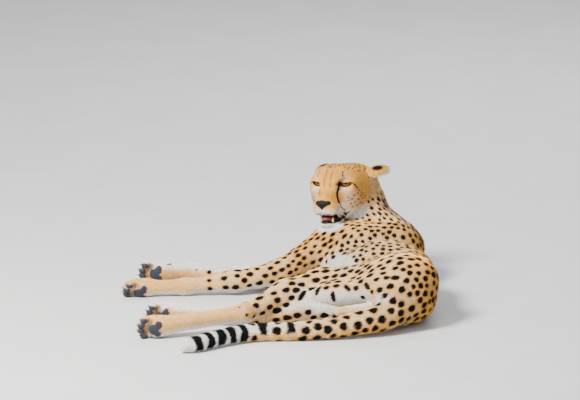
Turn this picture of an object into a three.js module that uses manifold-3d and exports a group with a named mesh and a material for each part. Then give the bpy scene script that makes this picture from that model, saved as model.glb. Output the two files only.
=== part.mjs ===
// A life-size cheetah that lies on its right side with its head up, as one still model.
// Millimetres, +Z up. The origin is on the flat under the flank. The spine runs along +Y, from the
// rump to the shoulders, the back faces +X and all four legs stretch out along -X.
import * as THREE from "three";
import { mergeVertices } from "three/addons/utils/BufferGeometryUtils.js";
import Module from "manifold-3d";

const wasm = await Module();
wasm.setup();

// ---- driving sizes ---------------------------------------------------------------------------

const GAP = 0.4; // between neighbouring nodes where a flat cut parts them
const CLEAR = 1; // between neighbouring nodes where one is hollowed for the other
const FAR = 2500; // side of the blocks that cut half a space away
const SETTLE_STEPS = 4; // how often a vertex is moved onto the true surface
const TOLERANCE = 0.02; // slivers finer than this are merged away

const JOINTS = {
  hipLeft: [92, -250, 118],
  hipRight: [92, -262, 52],
  kneeLeft: [-126, -178, 80],
  kneeRight: [-84, -248, 38],
  hockLeft: [-334, -366, 48],
  hockRight: [-306, -322, 26],
  hindToesLeft: [-572, -438, 30],
  hindToesRight: [-548, -250, 26],
  shoulderLeft: [-96, 176, 112],
  shoulderRight: [-96, 222, 48],
  shankLeft: [-222, -252, 66],
  shankRight: [-190, -282, 33],
  elbowLeft: [-238, 86, 50],
  elbowRight: [-224, 124, 34],
  forearmLeft: [-356, 54, 35],
  forearmRight: [-350, 160, 25],
  wristLeft: [-486, 44, 23],
  wristRight: [-470, 226, 22],
  foreToesLeft: [-614, 28, 23],
  foreToesRight: [-572, 200, 27],
};

const SPINE = {
  pelvis: [80, -262, 80],
  loin: [88, -140, 77],
  ribs: [42, -36, 75],
  chest: [0, 118, 65],
  withers: [68, 205, 84],
  neckBase: [40, 240, 88],
  neckTop: [-42, 288, 186],
};

const HEAD = {
  eyes: [-100, 200, 265], // midway between the eyes
  yaw: 24, // degrees from -Y towards -X
  roll: 4, // degrees the animal's left side is raised
};

// The tail's centreline, and its radius at the same stations.
const TAIL = {
  path: [
    [70, -345, 62],
    [36, -394, 46],
    [-40, -432, 36],
    [-120, -456, 28],
    [-208, -467, 23.5],
    [-292, -472, 23],
    [-353, -500, 22.5],
    [-408, -545, 21.5],
    [-452, -590, 20.5],
    [-482, -608, 19],
  ],
  radius: [40, 36, 31, 27, 25, 24.5, 24, 23, 22, 20],
};
const SCROTUM = [[14, -350, 55], [-84, -360, 51], 22, 15]; // from, to and radii
const TAIL_RINGS = 26; // rings of points along the whole tail
const TAIL_SIDES = 10;
const TAIL_LENGTHS = [
  [0, 0.5],
  [0.35, 0.75],
  [0.6, 1.001],
]; // how far each length reaches along the tail, before the cuts
const TAIL_END = [
  [12, 16],
  [20, 9],
]; // the rounded tip: rings this far past the end, and their radii

// ---- distance fields -------------------------------------------------------------------------

const sub = (a, b) => [a[0] - b[0], a[1] - b[1], a[2] - b[2]];
const add = (a, b) => [a[0] + b[0], a[1] + b[1], a[2] + b[2]];
const scale = (a, s) => [a[0] * s, a[1] * s, a[2] * s];
const dot = (a, b) => a[0] * b[0] + a[1] * b[1] + a[2] * b[2];
const cross = (a, b) => [
  a[1] * b[2] - a[2] * b[1],
  a[2] * b[0] - a[0] * b[2],
  a[0] * b[1] - a[1] * b[0],
];
const unit = (a) => scale(a, 1 / Math.hypot(...a));
const mix = (a, b, t) => add(a, scale(sub(b, a), t));

// Three square axes: the first along `first`, the third as near as it gets to `third`.
function axes(first, third) {
  const a = unit(first);
  const b = unit(cross(third, a));
  return [a, b, cross(a, b)];
}

const WORLD = [
  [1, 0, 0],
  [0, 1, 0],
  [0, 0, 1],
];

// An egg with the given half-sizes along its own axes.
function egg(centre, radii, frame = WORLD) {
  const [cx, cy, cz] = centre;
  const [[ax, ay, az], [bx, by, bz], [gx, gy, gz]] = frame;
  const [ra, rb, rc] = radii;
  return (x, y, z) => {
    const dx = x - cx;
    const dy = y - cy;
    const dz = z - cz;
    const a = (dx * ax + dy * ay + dz * az) / ra;
    const b = (dx * bx + dy * by + dz * bz) / rb;
    const c = (dx * gx + dy * gy + dz * gz) / rc;
    const near = Math.sqrt(a * a + b * b + c * c);
    const slope = Math.sqrt((a / ra) ** 2 + (b / rb) ** 2 + (c / rc) ** 2);
    return slope > 1e-9 ? (near * (near - 1)) / slope : -Math.min(ra, rb, rc);
  };
}

// A tapered rod with round ends. `flat` below 1 thins it along the direction `thin`.
function rod(from, to, r0, r1, flat = 1, thin = [0, 0, 1]) {
  const [nx, ny, nz] = unit(thin);
  const stretch = 1 / flat - 1;
  const swell = (x, y, z) => {
    const s = stretch * (x * nx + y * ny + z * nz);
    return [x + s * nx, y + s * ny, z + s * nz];
  };
  const a = swell(...from);
  const ab = sub(swell(...to), a);
  const length2 = dot(ab, ab);
  return (x, y, z) => {
    const s = stretch * (x * nx + y * ny + z * nz);
    const px = x + s * nx - a[0];
    const py = y + s * ny - a[1];
    const pz = z + s * nz - a[2];
    const t = Math.min(
      1,
      Math.max(0, (px * ab[0] + py * ab[1] + pz * ab[2]) / length2),
    );
    const dx = px - t * ab[0];
    const dy = py - t * ab[1];
    const dz = pz - t * ab[2];
    const away = Math.sqrt(dx * dx + dy * dy + dz * dz);
    return (away - (r0 + t * (r1 - r0))) * (flat < 1 ? flat : 1);
  };
}

// The lesser of two distances, with a fillet of about k where they meet.
function round(k, d, e) {
  const h = Math.max(k - Math.abs(d - e), 0) / k;
  return Math.min(d, e) - h * h * k * 0.25;
}

const blend = (k, shapes) => (x, y, z) => {
  let d = shapes[0](x, y, z);
  for (let i = 1; i < shapes.length; i++) d = round(k, d, shapes[i](x, y, z));
  return d;
};

const without = (k, shape, hole) => (x, y, z) =>
  -round(k, -shape(x, y, z), hole(x, y, z));

// A field given in a frame's own coordinates, used in the part's frame.
const placed = (shape, origin, frame) => (x, y, z) => {
  const d = [x - origin[0], y - origin[1], z - origin[2]];
  return shape(dot(d, frame[0]), dot(d, frame[1]), dot(d, frame[2]));
};

// ---- trunk, neck and tail --------------------------------------------------------------------

const trunkField = blend(40, [
  egg(SPINE.pelvis, [92, 126, 83]),
  egg(SPINE.loin, [86, 140, 80]),
  egg(SPINE.ribs, [128, 120, 90]),
  egg(SPINE.chest, [130, 138, 71]),
  egg(SPINE.withers, [76, 92, 62]),
  rod([-30, 150, 124], [52, 178, 120], 50, 44, 0.8), // left shoulder blade
  rod([-92, 186, 104], [-40, 166, 116], 50, 54, 0.9), // point of the left shoulder
  rod([104, -236, 104], [50, -256, 110], 52, 58, 0.9), // left haunch
]);

const neckField = blend(30, [
  rod(SPINE.neckBase, SPINE.neckTop, 88, 60),
  rod([104, 248, 88], [4, 300, 166], 28, 20), // crest of the nape
  rod([-14, 294, 202], [-30, 276, 244], 54, 54), // up to the back of the skull
]);

const tailCurve = new THREE.CatmullRomCurve3(
  TAIL.path.map((p) => new THREE.Vector3(...p)),
);
const tailRadius = new THREE.CatmullRomCurve3(
  TAIL.radius.map((r, i) => new THREE.Vector3(i, r, 0)),
);
const TAIL_RODS = 22;
const tailStation = (i) => [
  tailCurve.getPoint(i / TAIL_RODS).toArray(),
  tailRadius.getPoint(i / TAIL_RODS).y,
];
const tailField = blend(
  6,
  Array.from({ length: TAIL_RODS }, (_, i) => {
    const [from, r0] = tailStation(i);
    const [to, r1] = tailStation(i + 1);
    return rod(from, to, r0, r1);
  }),
);

// ---- head ------------------------------------------------------------------------------------

// The head's own axes: forwards to the nose, to the animal's left, and up.
const turned = (axis, degrees) =>
  new THREE.Matrix4().makeRotationAxis(
    new THREE.Vector3(...axis),
    THREE.MathUtils.degToRad(degrees),
  );
const headTurn = turned([0, 0, 1], -90 - HEAD.yaw).multiply(turned([1, 0, 0], HEAD.roll));
const headAxes = [0, 1, 2].map((i) =>
  new THREE.Vector3().setFromMatrixColumn(headTurn, i).toArray(),
);
const headPoint = (p) => add(HEAD.eyes, headDirection(p));
function headDirection(p) {
  const parts = p.map((value, i) => scale(headAxes[i], value));
  return parts.reduce(add);
}
const pair = (make) => [make(1), make(-1)];

const skull = blend(20, [
  egg([-62, 0, -2], [76, 62, 42]), // cranium
  ...pair((s) => egg([-44, 28 * s, 2], [58, 40, 36])), // flat of the crown
  egg([-8, 0, 12], [28, 38, 24]), // brow
  ...pair((s) => rod([16, 12 * s, 4], [-16, 19 * s, 30], 10, 13)), // frown on either side
  ...pair((s) => egg([-32, 42 * s, -24], [44, 30, 38])), // cheekbones
  ...pair((s) => egg([-64, 44 * s, -36], [50, 34, 42])), // jaw muscles
  ...pair((s) => egg([-34, 34 * s, -62], [44, 30, 28])), // ruff under the cheeks
  rod([2, 0, -14], [54, 0, -42], 24, 18), // bridge of the nose
  rod([8, 0, -46], [42, 0, -52], 34, 26), // upper jaw
]);
const whiskerPads = pair((s) => egg([45, 17 * s, -57], [25, 18.5, 19.5]));
const EYE = { centre: [-16, 37, 1], radius: 16.5, lid: 3.6, half: [14.5, 5.2], turn: 12 };
const eyeCentre = (s) => [EYE.centre[0], EYE.centre[1] * s, EYE.centre[2]];
const lids = pair((s) => {
  const r = EYE.radius + EYE.lid;
  return egg(eyeCentre(s), [r, r, r]);
});
const sockets = pair((s) => egg([6, 38 * s, 1], [12, 17, 12]));
const face = blend(9, [without(12, skull, blend(4, sockets)), ...whiskerPads]);
const upperHead = blend(5, [face, ...lids]);

const mandible = blend(16, [
  rod([-44, 0, -76], [32, 0, -97], 24, 13, 0.8),
  ...pair((s) => rod([-40, 36 * s, -70], [26, 18 * s, -95], 19, 11)),
  egg([42, 0, -100], [18, 18, 12]), // chin
]);
// The open mouth: a wedge from the corners of the lips to the front.
const acrossMouth = (f, u, r) => rod([f, -60, u], [f, 60, u], r, r);
const mouthGap = blend(6, [
  acrossMouth(8, -76, 1.5),
  acrossMouth(30, -79.5, 5.5),
  acrossMouth(50, -80, 8.5),
  acrossMouth(72, -79, 12),
  acrossMouth(95, -78, 15),
]);
const headField = placed(blend(14, [upperHead, mandible]), HEAD.eyes, headAxes);
const mouthField = placed(mouthGap, HEAD.eyes, headAxes);

// An ear is a leaf with a hollow in its lower face. Its own axes: to the tip, across, and
// out of its rounded back.
const EARS = {
  left: { base: [-94, 64, 12], tip: [-122, 112, 17], back: [0.14, 0.15, 0.97] },
  right: { base: [-96, -58, 14], tip: [-136, -86, 12], back: [0.3, -0.1, 0.95] },
};
const EAR = { long: 34, wide: 27, thick: 14, hollow: 5 };
const EAR_MIDDLE = 0.45; // where an ear's middle is, on the way from its base to its tip
for (const ear of Object.values(EARS)) {
  const [along, across, back] = axes(sub(ear.tip, ear.base), ear.back);
  const centre = mix(ear.base, ear.tip, EAR_MIDDLE);
  const shell = egg(centre, [EAR.long, EAR.wide, EAR.thick], [along, across, back]);
  const inner = sub(add(centre, scale(along, 3)), scale(back, EAR.hollow));
  const hollow = egg(inner, [EAR.long - 5, EAR.wide - 5, EAR.thick - 2], [along, across, back]);
  ear.axes = [along, across, back];
  ear.centre = centre;
  ear.field = placed(without(3, shell, hollow), HEAD.eyes, headAxes);
}

// ---- legs ------------------------------------------------------------------------------------

// A paw in its own axes: towards the toes, across, and towards the back of the paw.
const TOES = [-1.5, -0.5, 0.5, 1.5];
const toeReach = (i) => (Math.abs(i) > 1 ? 0 : 8);
function pawLocal(size) {
  const shapes = [egg([10, 0, 2], [38, 26, 19])];
  for (const i of TOES) {
    const tip = [46 + toeReach(i), i * 15.5, -6];
    shapes.push(rod([22, i * 12, 5], tip, 12, 11));
    shapes.push(egg([47 + toeReach(i), i * 15.5, -13], [11.5, 8.5, 9.5])); // toe pad
  }
  shapes.push(egg([16, 0, -14], [18, 24, 12.5])); // large pad
  const field = blend(5, shapes);
  return (x, y, z) => field(x / size, y / size, z / size) * size;
}

const PAWS = {
  foreLeft: { at: "foreToesLeft", toes: [-1, -0.12, 0], back: [0.1, 0.85, 0.5] },
  foreRight: { at: "foreToesRight", toes: [-1, 0.02, 0], back: [0.35, 0.9, 0.1] },
  hindLeft: { at: "hindToesLeft", toes: [-1, -0.15, 0], back: [0.3, 0.95, 0.12] },
  hindRight: { at: "hindToesRight", toes: [-1, 0.1, 0], back: [0.1, 0.9, 0.4] },
};
const PAW_SIZE = 0.92;
const PAW_BACK = 30; // from a paw's own origin back from the toes' joint

for (const paw of Object.values(PAWS)) {
  paw.frame = axes(paw.toes, paw.back);
  paw.origin = add(JOINTS[paw.at], scale(paw.frame[0], -PAW_BACK + 8));
  paw.field = placed(pawLocal(PAW_SIZE), paw.origin, paw.frame);
}

const J = JOINTS;
const legs = {
  foreLeft: blend(22, [
    rod(J.shoulderLeft, J.elbowLeft, 56, 34, 0.85, [0.3, 0.4, 1]),
    rod(J.elbowLeft, J.forearmLeft, 33, 27),
    rod(J.forearmLeft, J.wristLeft, 27, 20),
    rod(J.wristLeft, PAWS.foreLeft.origin, 20, 20),
    PAWS.foreLeft.field,
  ]),
  foreRight: blend(22, [
    rod(J.shoulderRight, J.elbowRight, 52, 33, 0.8),
    rod(J.elbowRight, J.forearmRight, 33, 25),
    rod(J.forearmRight, J.wristRight, 25, 20),
    rod(J.wristRight, PAWS.foreRight.origin, 20, 20),
    PAWS.foreRight.field,
  ]),
  hindLeft: blend(26, [
    rod(J.hipLeft, J.kneeLeft, 78, 46, 0.78),
    rod([40, -316, 104], [-92, -262, 76], 52, 34, 0.8), // hamstrings
    rod([-92, -262, 76], [-206, -262, 62], 34, 25, 0.8), // calf
    rod(J.kneeLeft, J.shankLeft, 46, 41),
    rod(J.shankLeft, J.hockLeft, 41, 22),
    rod(J.hockLeft, PAWS.hindLeft.origin, 22, 24),
    PAWS.hindLeft.field,
  ]),
  hindRight: blend(26, [
    rod(J.hipRight, J.kneeRight, 66, 40, 0.7),
    rod(J.kneeRight, J.shankRight, 38, 31),
    rod(J.shankRight, J.hockRight, 31, 21),
    rod(J.hockRight, PAWS.hindRight.origin, 20, 19),
    PAWS.hindRight.field,
  ]),
};

// Each leg melts into the body but only touches the other legs and the chin.
const body = blend(34, [trunkField, neckField, tailField]);
const neckAndHead = blend(24, [neckField, headField]);
const JOIN = 34;
const allLegs = Object.values(legs);
const whole = (x, y, z) => {
  const d = body(x, y, z);
  let nearest = d;
  for (const leg of allLegs) nearest = Math.min(nearest, round(JOIN, d, leg(x, y, z)));
  return -round(3, -round(7, nearest, neckAndHead(x, y, z)), mouthField(x, y, z));
};

// ---- meshing ---------------------------------------------------------------------------------

// The surface of a field inside a box, as one closed mesh of quads split into triangles.
// frame turns the grid, and step is its spacing along each of the frame's axes.
function meshOf(field, { centre, half, step, frame = WORLD }) {
  const count = half.map((h, i) => Math.ceil((2 * h) / step[i]) + 3);
  const low = half.map((h, i) => -((count[i] - 1) * step[i]) / 2);
  const toWorld = (a, b, c) => [
    centre[0] + a * frame[0][0] + b * frame[1][0] + c * frame[2][0],
    centre[1] + a * frame[0][1] + b * frame[1][1] + c * frame[2][1],
    centre[2] + a * frame[0][2] + b * frame[1][2] + c * frame[2][2],
  ];
  const inside = (a, b, c) =>
    Math.max(
      field(...toWorld(a, b, c)),
      Math.abs(a) - half[0],
      Math.abs(b) - half[1],
      Math.abs(c) - half[2],
    );
  const [nx, ny, nz] = count;
  const values = new Float64Array(nx * ny * nz);
  const at = (i, j, k) => i + nx * (j + ny * k);
  for (let k = 0; k < nz; k++)
    for (let j = 0; j < ny; j++)
      for (let i = 0; i < nx; i++)
        values[at(i, j, k)] = inside(
          low[0] + i * step[0],
          low[1] + j * step[1],
          low[2] + k * step[2],
        );

  const corners = [0, 1, 2, 3, 4, 5, 6, 7].map((n) => [n & 1, (n >> 1) & 1, n >> 2]);
  const edges = [];
  for (let a = 0; a < 8; a++)
    for (const bit of [1, 2, 4]) if (!(a & bit)) edges.push([a, a | bit]);

  const places = [];
  const cell = new Int32Array(nx * ny * nz).fill(-1);
  const settle = (p) => {
    let q = p;
    for (let n = 0; n < SETTLE_STEPS; n++) {
      const h = 0.2;
      const d = inside(...q);
      const slope = [
        (inside(q[0] + h, q[1], q[2]) - inside(q[0] - h, q[1], q[2])) / (2 * h),
        (inside(q[0], q[1] + h, q[2]) - inside(q[0], q[1] - h, q[2])) / (2 * h),
        (inside(q[0], q[1], q[2] + h) - inside(q[0], q[1], q[2] - h)) / (2 * h),
      ];
      const size2 = dot(slope, slope);
      if (size2 < 0.05) return q;
      const move = scale(slope, -d / size2);
      const longest = 0.35 * Math.min(...step);
      const length = Math.hypot(...move);
      q = add(q, length > longest ? scale(move, longest / length) : move);
    }
    return q;
  };
  for (let k = 0; k < nz - 1; k++)
    for (let j = 0; j < ny - 1; j++)
      for (let i = 0; i < nx - 1; i++) {
        const held = corners.map(([a, b, c]) => values[at(i + a, j + b, k + c)]);
        let crossings = 0;
        let middle = [0, 0, 0];
        for (const [a, b] of edges)
          if (held[a] < 0 !== held[b] < 0) {
            const t = held[a] / (held[a] - held[b]);
            middle = add(middle, mix(corners[a], corners[b], t));
            crossings++;
          }
        if (!crossings) continue;
        const p = [i, j, k].map(
          (n, axis) => low[axis] + (n + middle[axis] / crossings) * step[axis],
        );
        cell[at(i, j, k)] = places.length;
        places.push(settle(p));
      }

  const index = [];
  const quad = (a, b, c, d, flip) => {
    const [p, q] = [sub(places[a], places[c]), sub(places[b], places[d])];
    const short = dot(p, p) < dot(q, q);
    const tris = short ? [a, b, c, a, c, d] : [a, b, d, b, c, d];
    index.push(...(flip ? tris.reverse() : tris));
  };
  for (let k = 1; k < nz - 1; k++)
    for (let j = 1; j < ny - 1; j++)
      for (let i = 1; i < nx - 1; i++) {
        const here = values[at(i, j, k)] < 0;
        const c = (a, b, d) => cell[at(i - a, j - b, k - d)];
        if (here !== values[at(i + 1, j, k)] < 0)
          quad(c(0, 1, 1), c(0, 0, 1), c(0, 0, 0), c(0, 1, 0), !here);
        if (here !== values[at(i, j + 1, k)] < 0)
          quad(c(1, 0, 1), c(1, 0, 0), c(0, 0, 0), c(0, 0, 1), !here);
        if (here !== values[at(i, j, k + 1)] < 0)
          quad(c(1, 1, 0), c(0, 1, 0), c(0, 0, 0), c(1, 0, 0), !here);
      }
  const geometry = new THREE.BufferGeometry();
  const flat = places.flatMap((p) => toWorld(...p));
  geometry.setAttribute("position", new THREE.Float32BufferAttribute(flat, 3));
  geometry.setIndex(index);
  return geometry;
}

// ---- joining and cutting ---------------------------------------------------------------------

function solid(geometry, matrix = new THREE.Matrix4()) {
  const bare = geometry.clone();
  bare.deleteAttribute("normal");
  bare.deleteAttribute("uv");
  bare.applyMatrix4(matrix);
  const merged = mergeVertices(bare, 1e-3);
  const corners = merged.index.array;
  const kept = [];
  for (let i = 0; i < corners.length; i += 3) {
    const [a, b, c] = corners.slice(i, i + 3);
    if (a !== b && b !== c && c !== a) kept.push(a, b, c);
  }
  return new wasm.Manifold(
    new wasm.Mesh({
      numProp: 3,
      vertProperties: merged.attributes.position.array,
      triVerts: new Uint32Array(kept),
    }),
  );
}

function geometryOf(manifold) {
  const mesh = manifold.getMesh();
  const geometry = new THREE.BufferGeometry();
  geometry.setAttribute("position", new THREE.BufferAttribute(mesh.vertProperties, 3));
  geometry.setIndex(new THREE.BufferAttribute(mesh.triVerts, 1));
  return geometry;
}

// Everything on the side of a plane that its normal points to, set back by half the gap.
function beyond([point, normal], back = GAP / 2) {
  const n = unit(normal);
  const turn = new THREE.Quaternion().setFromUnitVectors(
    new THREE.Vector3(0, 0, 1),
    new THREE.Vector3(...n),
  );
  const centre = add(point, scale(n, FAR / 2 + back));
  const matrix = new THREE.Matrix4().compose(
    new THREE.Vector3(...centre),
    turn,
    new THREE.Vector3(1, 1, 1),
  );
  return solid(new THREE.BoxGeometry(FAR, FAR, FAR), matrix);
}

const opposite = ([point, normal]) => [point, scale(normal, -1)];
const region = (planes, back = GAP / 2) =>
  planes.map((plane) => beyond(plane, back)).reduce((a, b) => a.intersect(b));
const within = (piece, planes) => piece.intersect(region(planes));
const outside = (piece, planes) => piece.subtract(region(planes, -GAP / 2));

// A piece between planes, and the room it takes up in its neighbours.
function swollen(geometry) {
  const bare = geometry.clone();
  for (const extra of ["normal", "uv"]) bare.deleteAttribute(extra);
  const wider = mergeVertices(bare, 1e-3);
  wider.computeVertexNormals();
  const { position, normal } = wider.attributes;
  for (let i = 0; i < position.count; i++)
    position.setXYZ(
      i,
      position.getX(i) + CLEAR * normal.getX(i),
      position.getY(i) + CLEAR * normal.getY(i),
      position.getZ(i) + CLEAR * normal.getZ(i),
    );
  return wider;
}
function pieceAndRoom(geometry, planes = []) {
  const [piece, room] = [solid(geometry), solid(swollen(geometry))];
  if (!planes.length) return [piece, room.add(piece)];
  return [within(piece, planes), room.add(piece).intersect(region(planes, -GAP))];
}
const FLOOR = [
  [0, 0, 0],
  [0, 0, 1],
];
const largest = (piece) => piece.decompose().sort((a, b) => b.volume() - a.volume())[0];

// The plane that parts two lengths of a limb: square to the bend at their joint.
const atJoint = (before, joint, after) => [
  joint,
  add(unit(sub(joint, before)), unit(sub(after, joint))),
];

// ---- where the body is divided ---------------------------------------------------------------

const inHead = (point, normal) => [headPoint(point), headDirection(normal)];
const CUTS = {
  nape: inHead([-80, 0, -40], [0.845, 0, 0.536]),
  neckBase: [
    [10, 255, 135],
    [-0.45, 0.2, 0.87],
  ],
  neckFront: [
    [-60, 190, 150],
    [0.2, 0.9, 0.35],
  ],
  arms: [
    [-150, 150, 95],
    [-0.93, -0.1, -0.3],
  ],
  thighs: [
    [14, -228, 100],
    [-0.97, 0.2, -0.1],
  ],
  flank: [
    [-60, -124, 80],
    [0.06, -1, 0],
  ],
  tailRoot: [
    [34, -392, 50],
    [-0.72, -0.66, -0.18],
  ],
  tailSide: [
    [20, -372, 0],
    [0.275, -0.96, 0],
  ],
  tailMiddle: [
    [-160, -462, 25],
    [-1, 0, 0],
  ],
  tailTip: [
    [-353, -500, 24],
    [-0.8, -0.45, 0],
  ],
  mouth: inHead([8, 0, -76], [-0.05, 0, -1]),
  jawBack: inHead([8, 0, -76], [0.94, 0, -0.35]),
};

// A grid along a length of limb, for meshOf.
const along = (from, to, reach, step, up = [0, 0, 1]) => ({
  centre: mix(from, to, 0.5),
  half: [Math.hypot(...sub(to, from)) / 2 + reach, reach, reach],
  step,
  frame: axes(sub(to, from), up),
});
const around = (centre, half, step) => ({ centre, half, step: [step, step, step] });

const pieces = {};
const rooms = {};

// The head, with its mouth cut open, and the parts set into it.
const headMatrix = new THREE.Matrix4()
  .makeTranslation(...HEAD.eyes)
  .multiply(headTurn);
const headGrid = around(headPoint([-28, 0, -24]), [118, 118, 92], 15);
headGrid.frame = headAxes;
const local = (make) => placed(make, HEAD.eyes, headAxes);

const nosePad = local(
  blend(5, [
    ...pair((s) => rod([66, 0, -38.5], [63.5, 16.5 * s, -38.5], 6.8, 4.6)),
    egg([67, 0, -42.5], [7.5, 13, 7.5]),
    rod([67.5, 0, -44], [68, 0, -50.5], 6.6, 4),
  ]),
);
const tongueField = local(rod([12, 0, -86], [50, 0, -82], 13, 10.5, 0.5));
const noseGrid = { ...around(headPoint([64, 0, -42]), [16, 28, 20], 7), frame: headAxes };
const tongueGrid = { ...around(headPoint([32, 0, -84]), [34, 16, 10], 9.5), frame: headAxes };

function eyeParts(s) {
  const centre = eyeCentre(s);
  const turn = THREE.MathUtils.degToRad(EYE.turn) * s;
  const look = new THREE.Matrix4().makeTranslation(...centre);
  look.multiply(new THREE.Matrix4().makeRotationZ(turn)).premultiply(headMatrix);
  const ball = (r) => solid(new THREE.IcosahedronGeometry(r, 1), look);
  const lens = new THREE.CylinderGeometry(1, 1, 44, 10).rotateZ(Math.PI / 2);
  lens.scale(1, EYE.half[0], EYE.half[1]).translate(22, 0, 0);
  return { ball: ball(EYE.radius), room: ball(EYE.radius + CLEAR).add(solid(lens, look)) };
}

function mouthWedge() {
  const outline = [
    [8, -76],
    [30, -85],
    [50, -88.5],
    [96, -94],
    [96, -62],
    [50, -71.5],
    [30, -74],
  ];
  const profile = new THREE.Shape(outline.map(([f, u]) => new THREE.Vector2(f, u)));
  const wedge = new THREE.ExtrudeGeometry(profile, { depth: 150, bevelEnabled: false });
  wedge.translate(0, 0, -75).rotateX(Math.PI / 2);
  return solid(wedge, headMatrix);
}

function canine(s) {
  const tooth = new THREE.CylinderGeometry(0.9, 3, 16, 7).rotateX(Math.PI / 2);
  tooth.translate(44, 15.5 * s, -85);
  return solid(tooth, headMatrix);
}

// The half profile of an ear, from the middle of its back round the rim into the hollow,
// as shares of its width and thickness.
const EAR_PROFILE = [
  [0, 1],
  [0.5, 0.87],
  [0.85, 0.53],
  [1, 0],
  [0.86, -0.5],
  [0.7, -0.4],
  [0.55, 0.17],
  [0.28, 0.43],
  [0, 0.5],
];
function earCup(ear) {
  const outline = EAR_PROFILE.map(([r, y]) => new THREE.Vector2(r, y)).reverse();
  const cup = new THREE.LatheGeometry(outline, 12).scale(EAR.long, EAR.thick, EAR.wide);
  const [along, across, back] = ear.axes
    .map(headDirection)
    .map((v) => new THREE.Vector3(...v));
  return cup.applyMatrix4(
    new THREE.Matrix4()
      .makeBasis(along, back, across.negate())
      .setPosition(...headPoint(ear.centre)),
  );
}

for (const [side, ear] of Object.entries(EARS)) {
  const root = inHead(mix(ear.base, ear.tip, -0.05), sub(ear.tip, ear.base));
  const name = `ear_${side}`;
  [pieces[name], rooms[name]] = pieceAndRoom(earCup(ear), [root]);
}
[pieces.nose, rooms.nose] = pieceAndRoom(meshOf(nosePad, noseGrid));
[pieces.tongue, rooms.tongue] = pieceAndRoom(meshOf(tongueField, tongueGrid));
for (const [side, s] of [
  ["left", 1],
  ["right", -1],
])
  ({ ball: pieces[`eye_${side}`], room: rooms[`eye_${side}`] } = eyeParts(s));

const [skin, headRoom] = pieceAndRoom(meshOf(neckAndHead, headGrid), [CUTS.nape]);
const jawPlanes = [CUTS.mouth, CUTS.jawBack];
const set = Object.values(rooms).reduce((all, room) => all.add(room));
const hollow = skin.subtract(mouthWedge()).subtract(set);
pieces.head = outside(hollow, jawPlanes);
pieces.lower_jaw = within(hollow, jawPlanes).add(canine(1)).add(canine(-1));

// The legs, the right ones first. The left ones lie over them and melt into the body.
const limb = (leg) => (x, y, z) => round(JOIN, body(x, y, z), leg(x, y, z));
const CELLS = {
  thigh: [40, 35, 35],
  arm: [36, 31, 31],
  lower: [47, 25, 25],
  foot: [38, 17, 17],
  paw: [16, 14.5, 14.5],
};

function claw(paw, [a, b, c], [da, dc], size = 1) {
  const spike = new THREE.CylinderGeometry(0.5, 2.6, 15 * size, 6);
  spike.translate(0, 4 * size, 0);
  const point = add(
    paw.origin,
    [a, b, c].map((v, i) => scale(paw.frame[i], v * PAW_SIZE)).reduce(add),
  );
  const way = unit(add(scale(paw.frame[0], da), scale(paw.frame[2], dc)));
  const turn = new THREE.Quaternion().setFromUnitVectors(
    new THREE.Vector3(0, 1, 0),
    new THREE.Vector3(...way),
  );
  const place = new THREE.Vector3(...point);
  return solid(
    spike,
    new THREE.Matrix4().compose(place, turn, new THREE.Vector3(1, 1, 1)),
  );
}

function addLeg(end, side, over = []) {
  const fore = end === "fore";
  const at = (joint) => JOINTS[joint + side];
  const [root, bend, middle, ankle] = (
    fore ? ["shoulder", "elbow", "forearm", "wrist"] : ["hip", "knee", "shank", "hock"]
  ).map(at);
  const leg = legs[end + side];
  const upper = side === "Left" ? limb(leg) : leg;
  const paw = PAWS[end + side];
  const toes = at(`${end}Toes`);
  const rootCuts = fore ? [CUTS.arms] : [CUTS.thighs, CUTS.flank];
  const first = atJoint(root, bend, middle);
  const second = atJoint(middle, ankle, toes);
  const heel = add(paw.origin, scale(paw.frame[0], -26));
  const third = [heel, paw.frame[0]];
  const last = add(toes, scale(paw.frame[0], 40));
  const lengths = [
    {
      name: fore ? "upper_arm" : "thigh",
      field: upper,
      grid: along(root, bend, fore ? 80 : 115, fore ? CELLS.arm : CELLS.thigh),
      planes: [...rootCuts, opposite(first)],
    },
    {
      name: fore ? "forearm" : "shank",
      field: upper,
      grid: along(bend, ankle, 60, CELLS.lower),
      planes: [...rootCuts, first, opposite(second)],
    },
    {
      name: fore ? "metacarpus" : "metatarsus",
      field: leg,
      grid: along(ankle, heel, 36, CELLS.foot, paw.frame[2]),
      planes: [second, opposite(third)],
    },
    {
      name: fore ? "fore_paw" : "hind_paw",
      field: leg,
      grid: along(heel, last, 42, CELLS.paw, paw.frame[2]),
      planes: [third],
    },
  ];
  for (const { name, field, grid, planes } of lengths) {
    const full = `${name}_${side.toLowerCase()}`;
    let [piece, room] = pieceAndRoom(meshOf(field, grid), planes);
    for (const below of over) piece = piece.subtract(rooms[below]);
    if (name.endsWith("paw"))
      for (const spike of claws(paw, fore, side)) piece = piece.add(spike);
    pieces[full] = piece;
    rooms[full] = room;
  }
}

function claws(paw, fore, side) {
  const spikes = TOES.map((t) => claw(paw, [54 + toeReach(t), t * 15.5, -3], [1, -0.45]));
  const inner = side === "Left" ? -1 : 1;
  if (fore) spikes.push(claw(paw, [-22, 24 * inner, -4], [1, -0.5], 1.2)); // dewclaw
  return spikes;
}

addLeg("hind", "Right");
addLeg("hind", "Left", ["thigh_right", "shank_right", "metatarsus_right", "hind_paw_right"]);
addLeg("fore", "Right");
addLeg("fore", "Left", ["upper_arm_right", "forearm_right", "metacarpus_right", "fore_paw_right"]);

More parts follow.
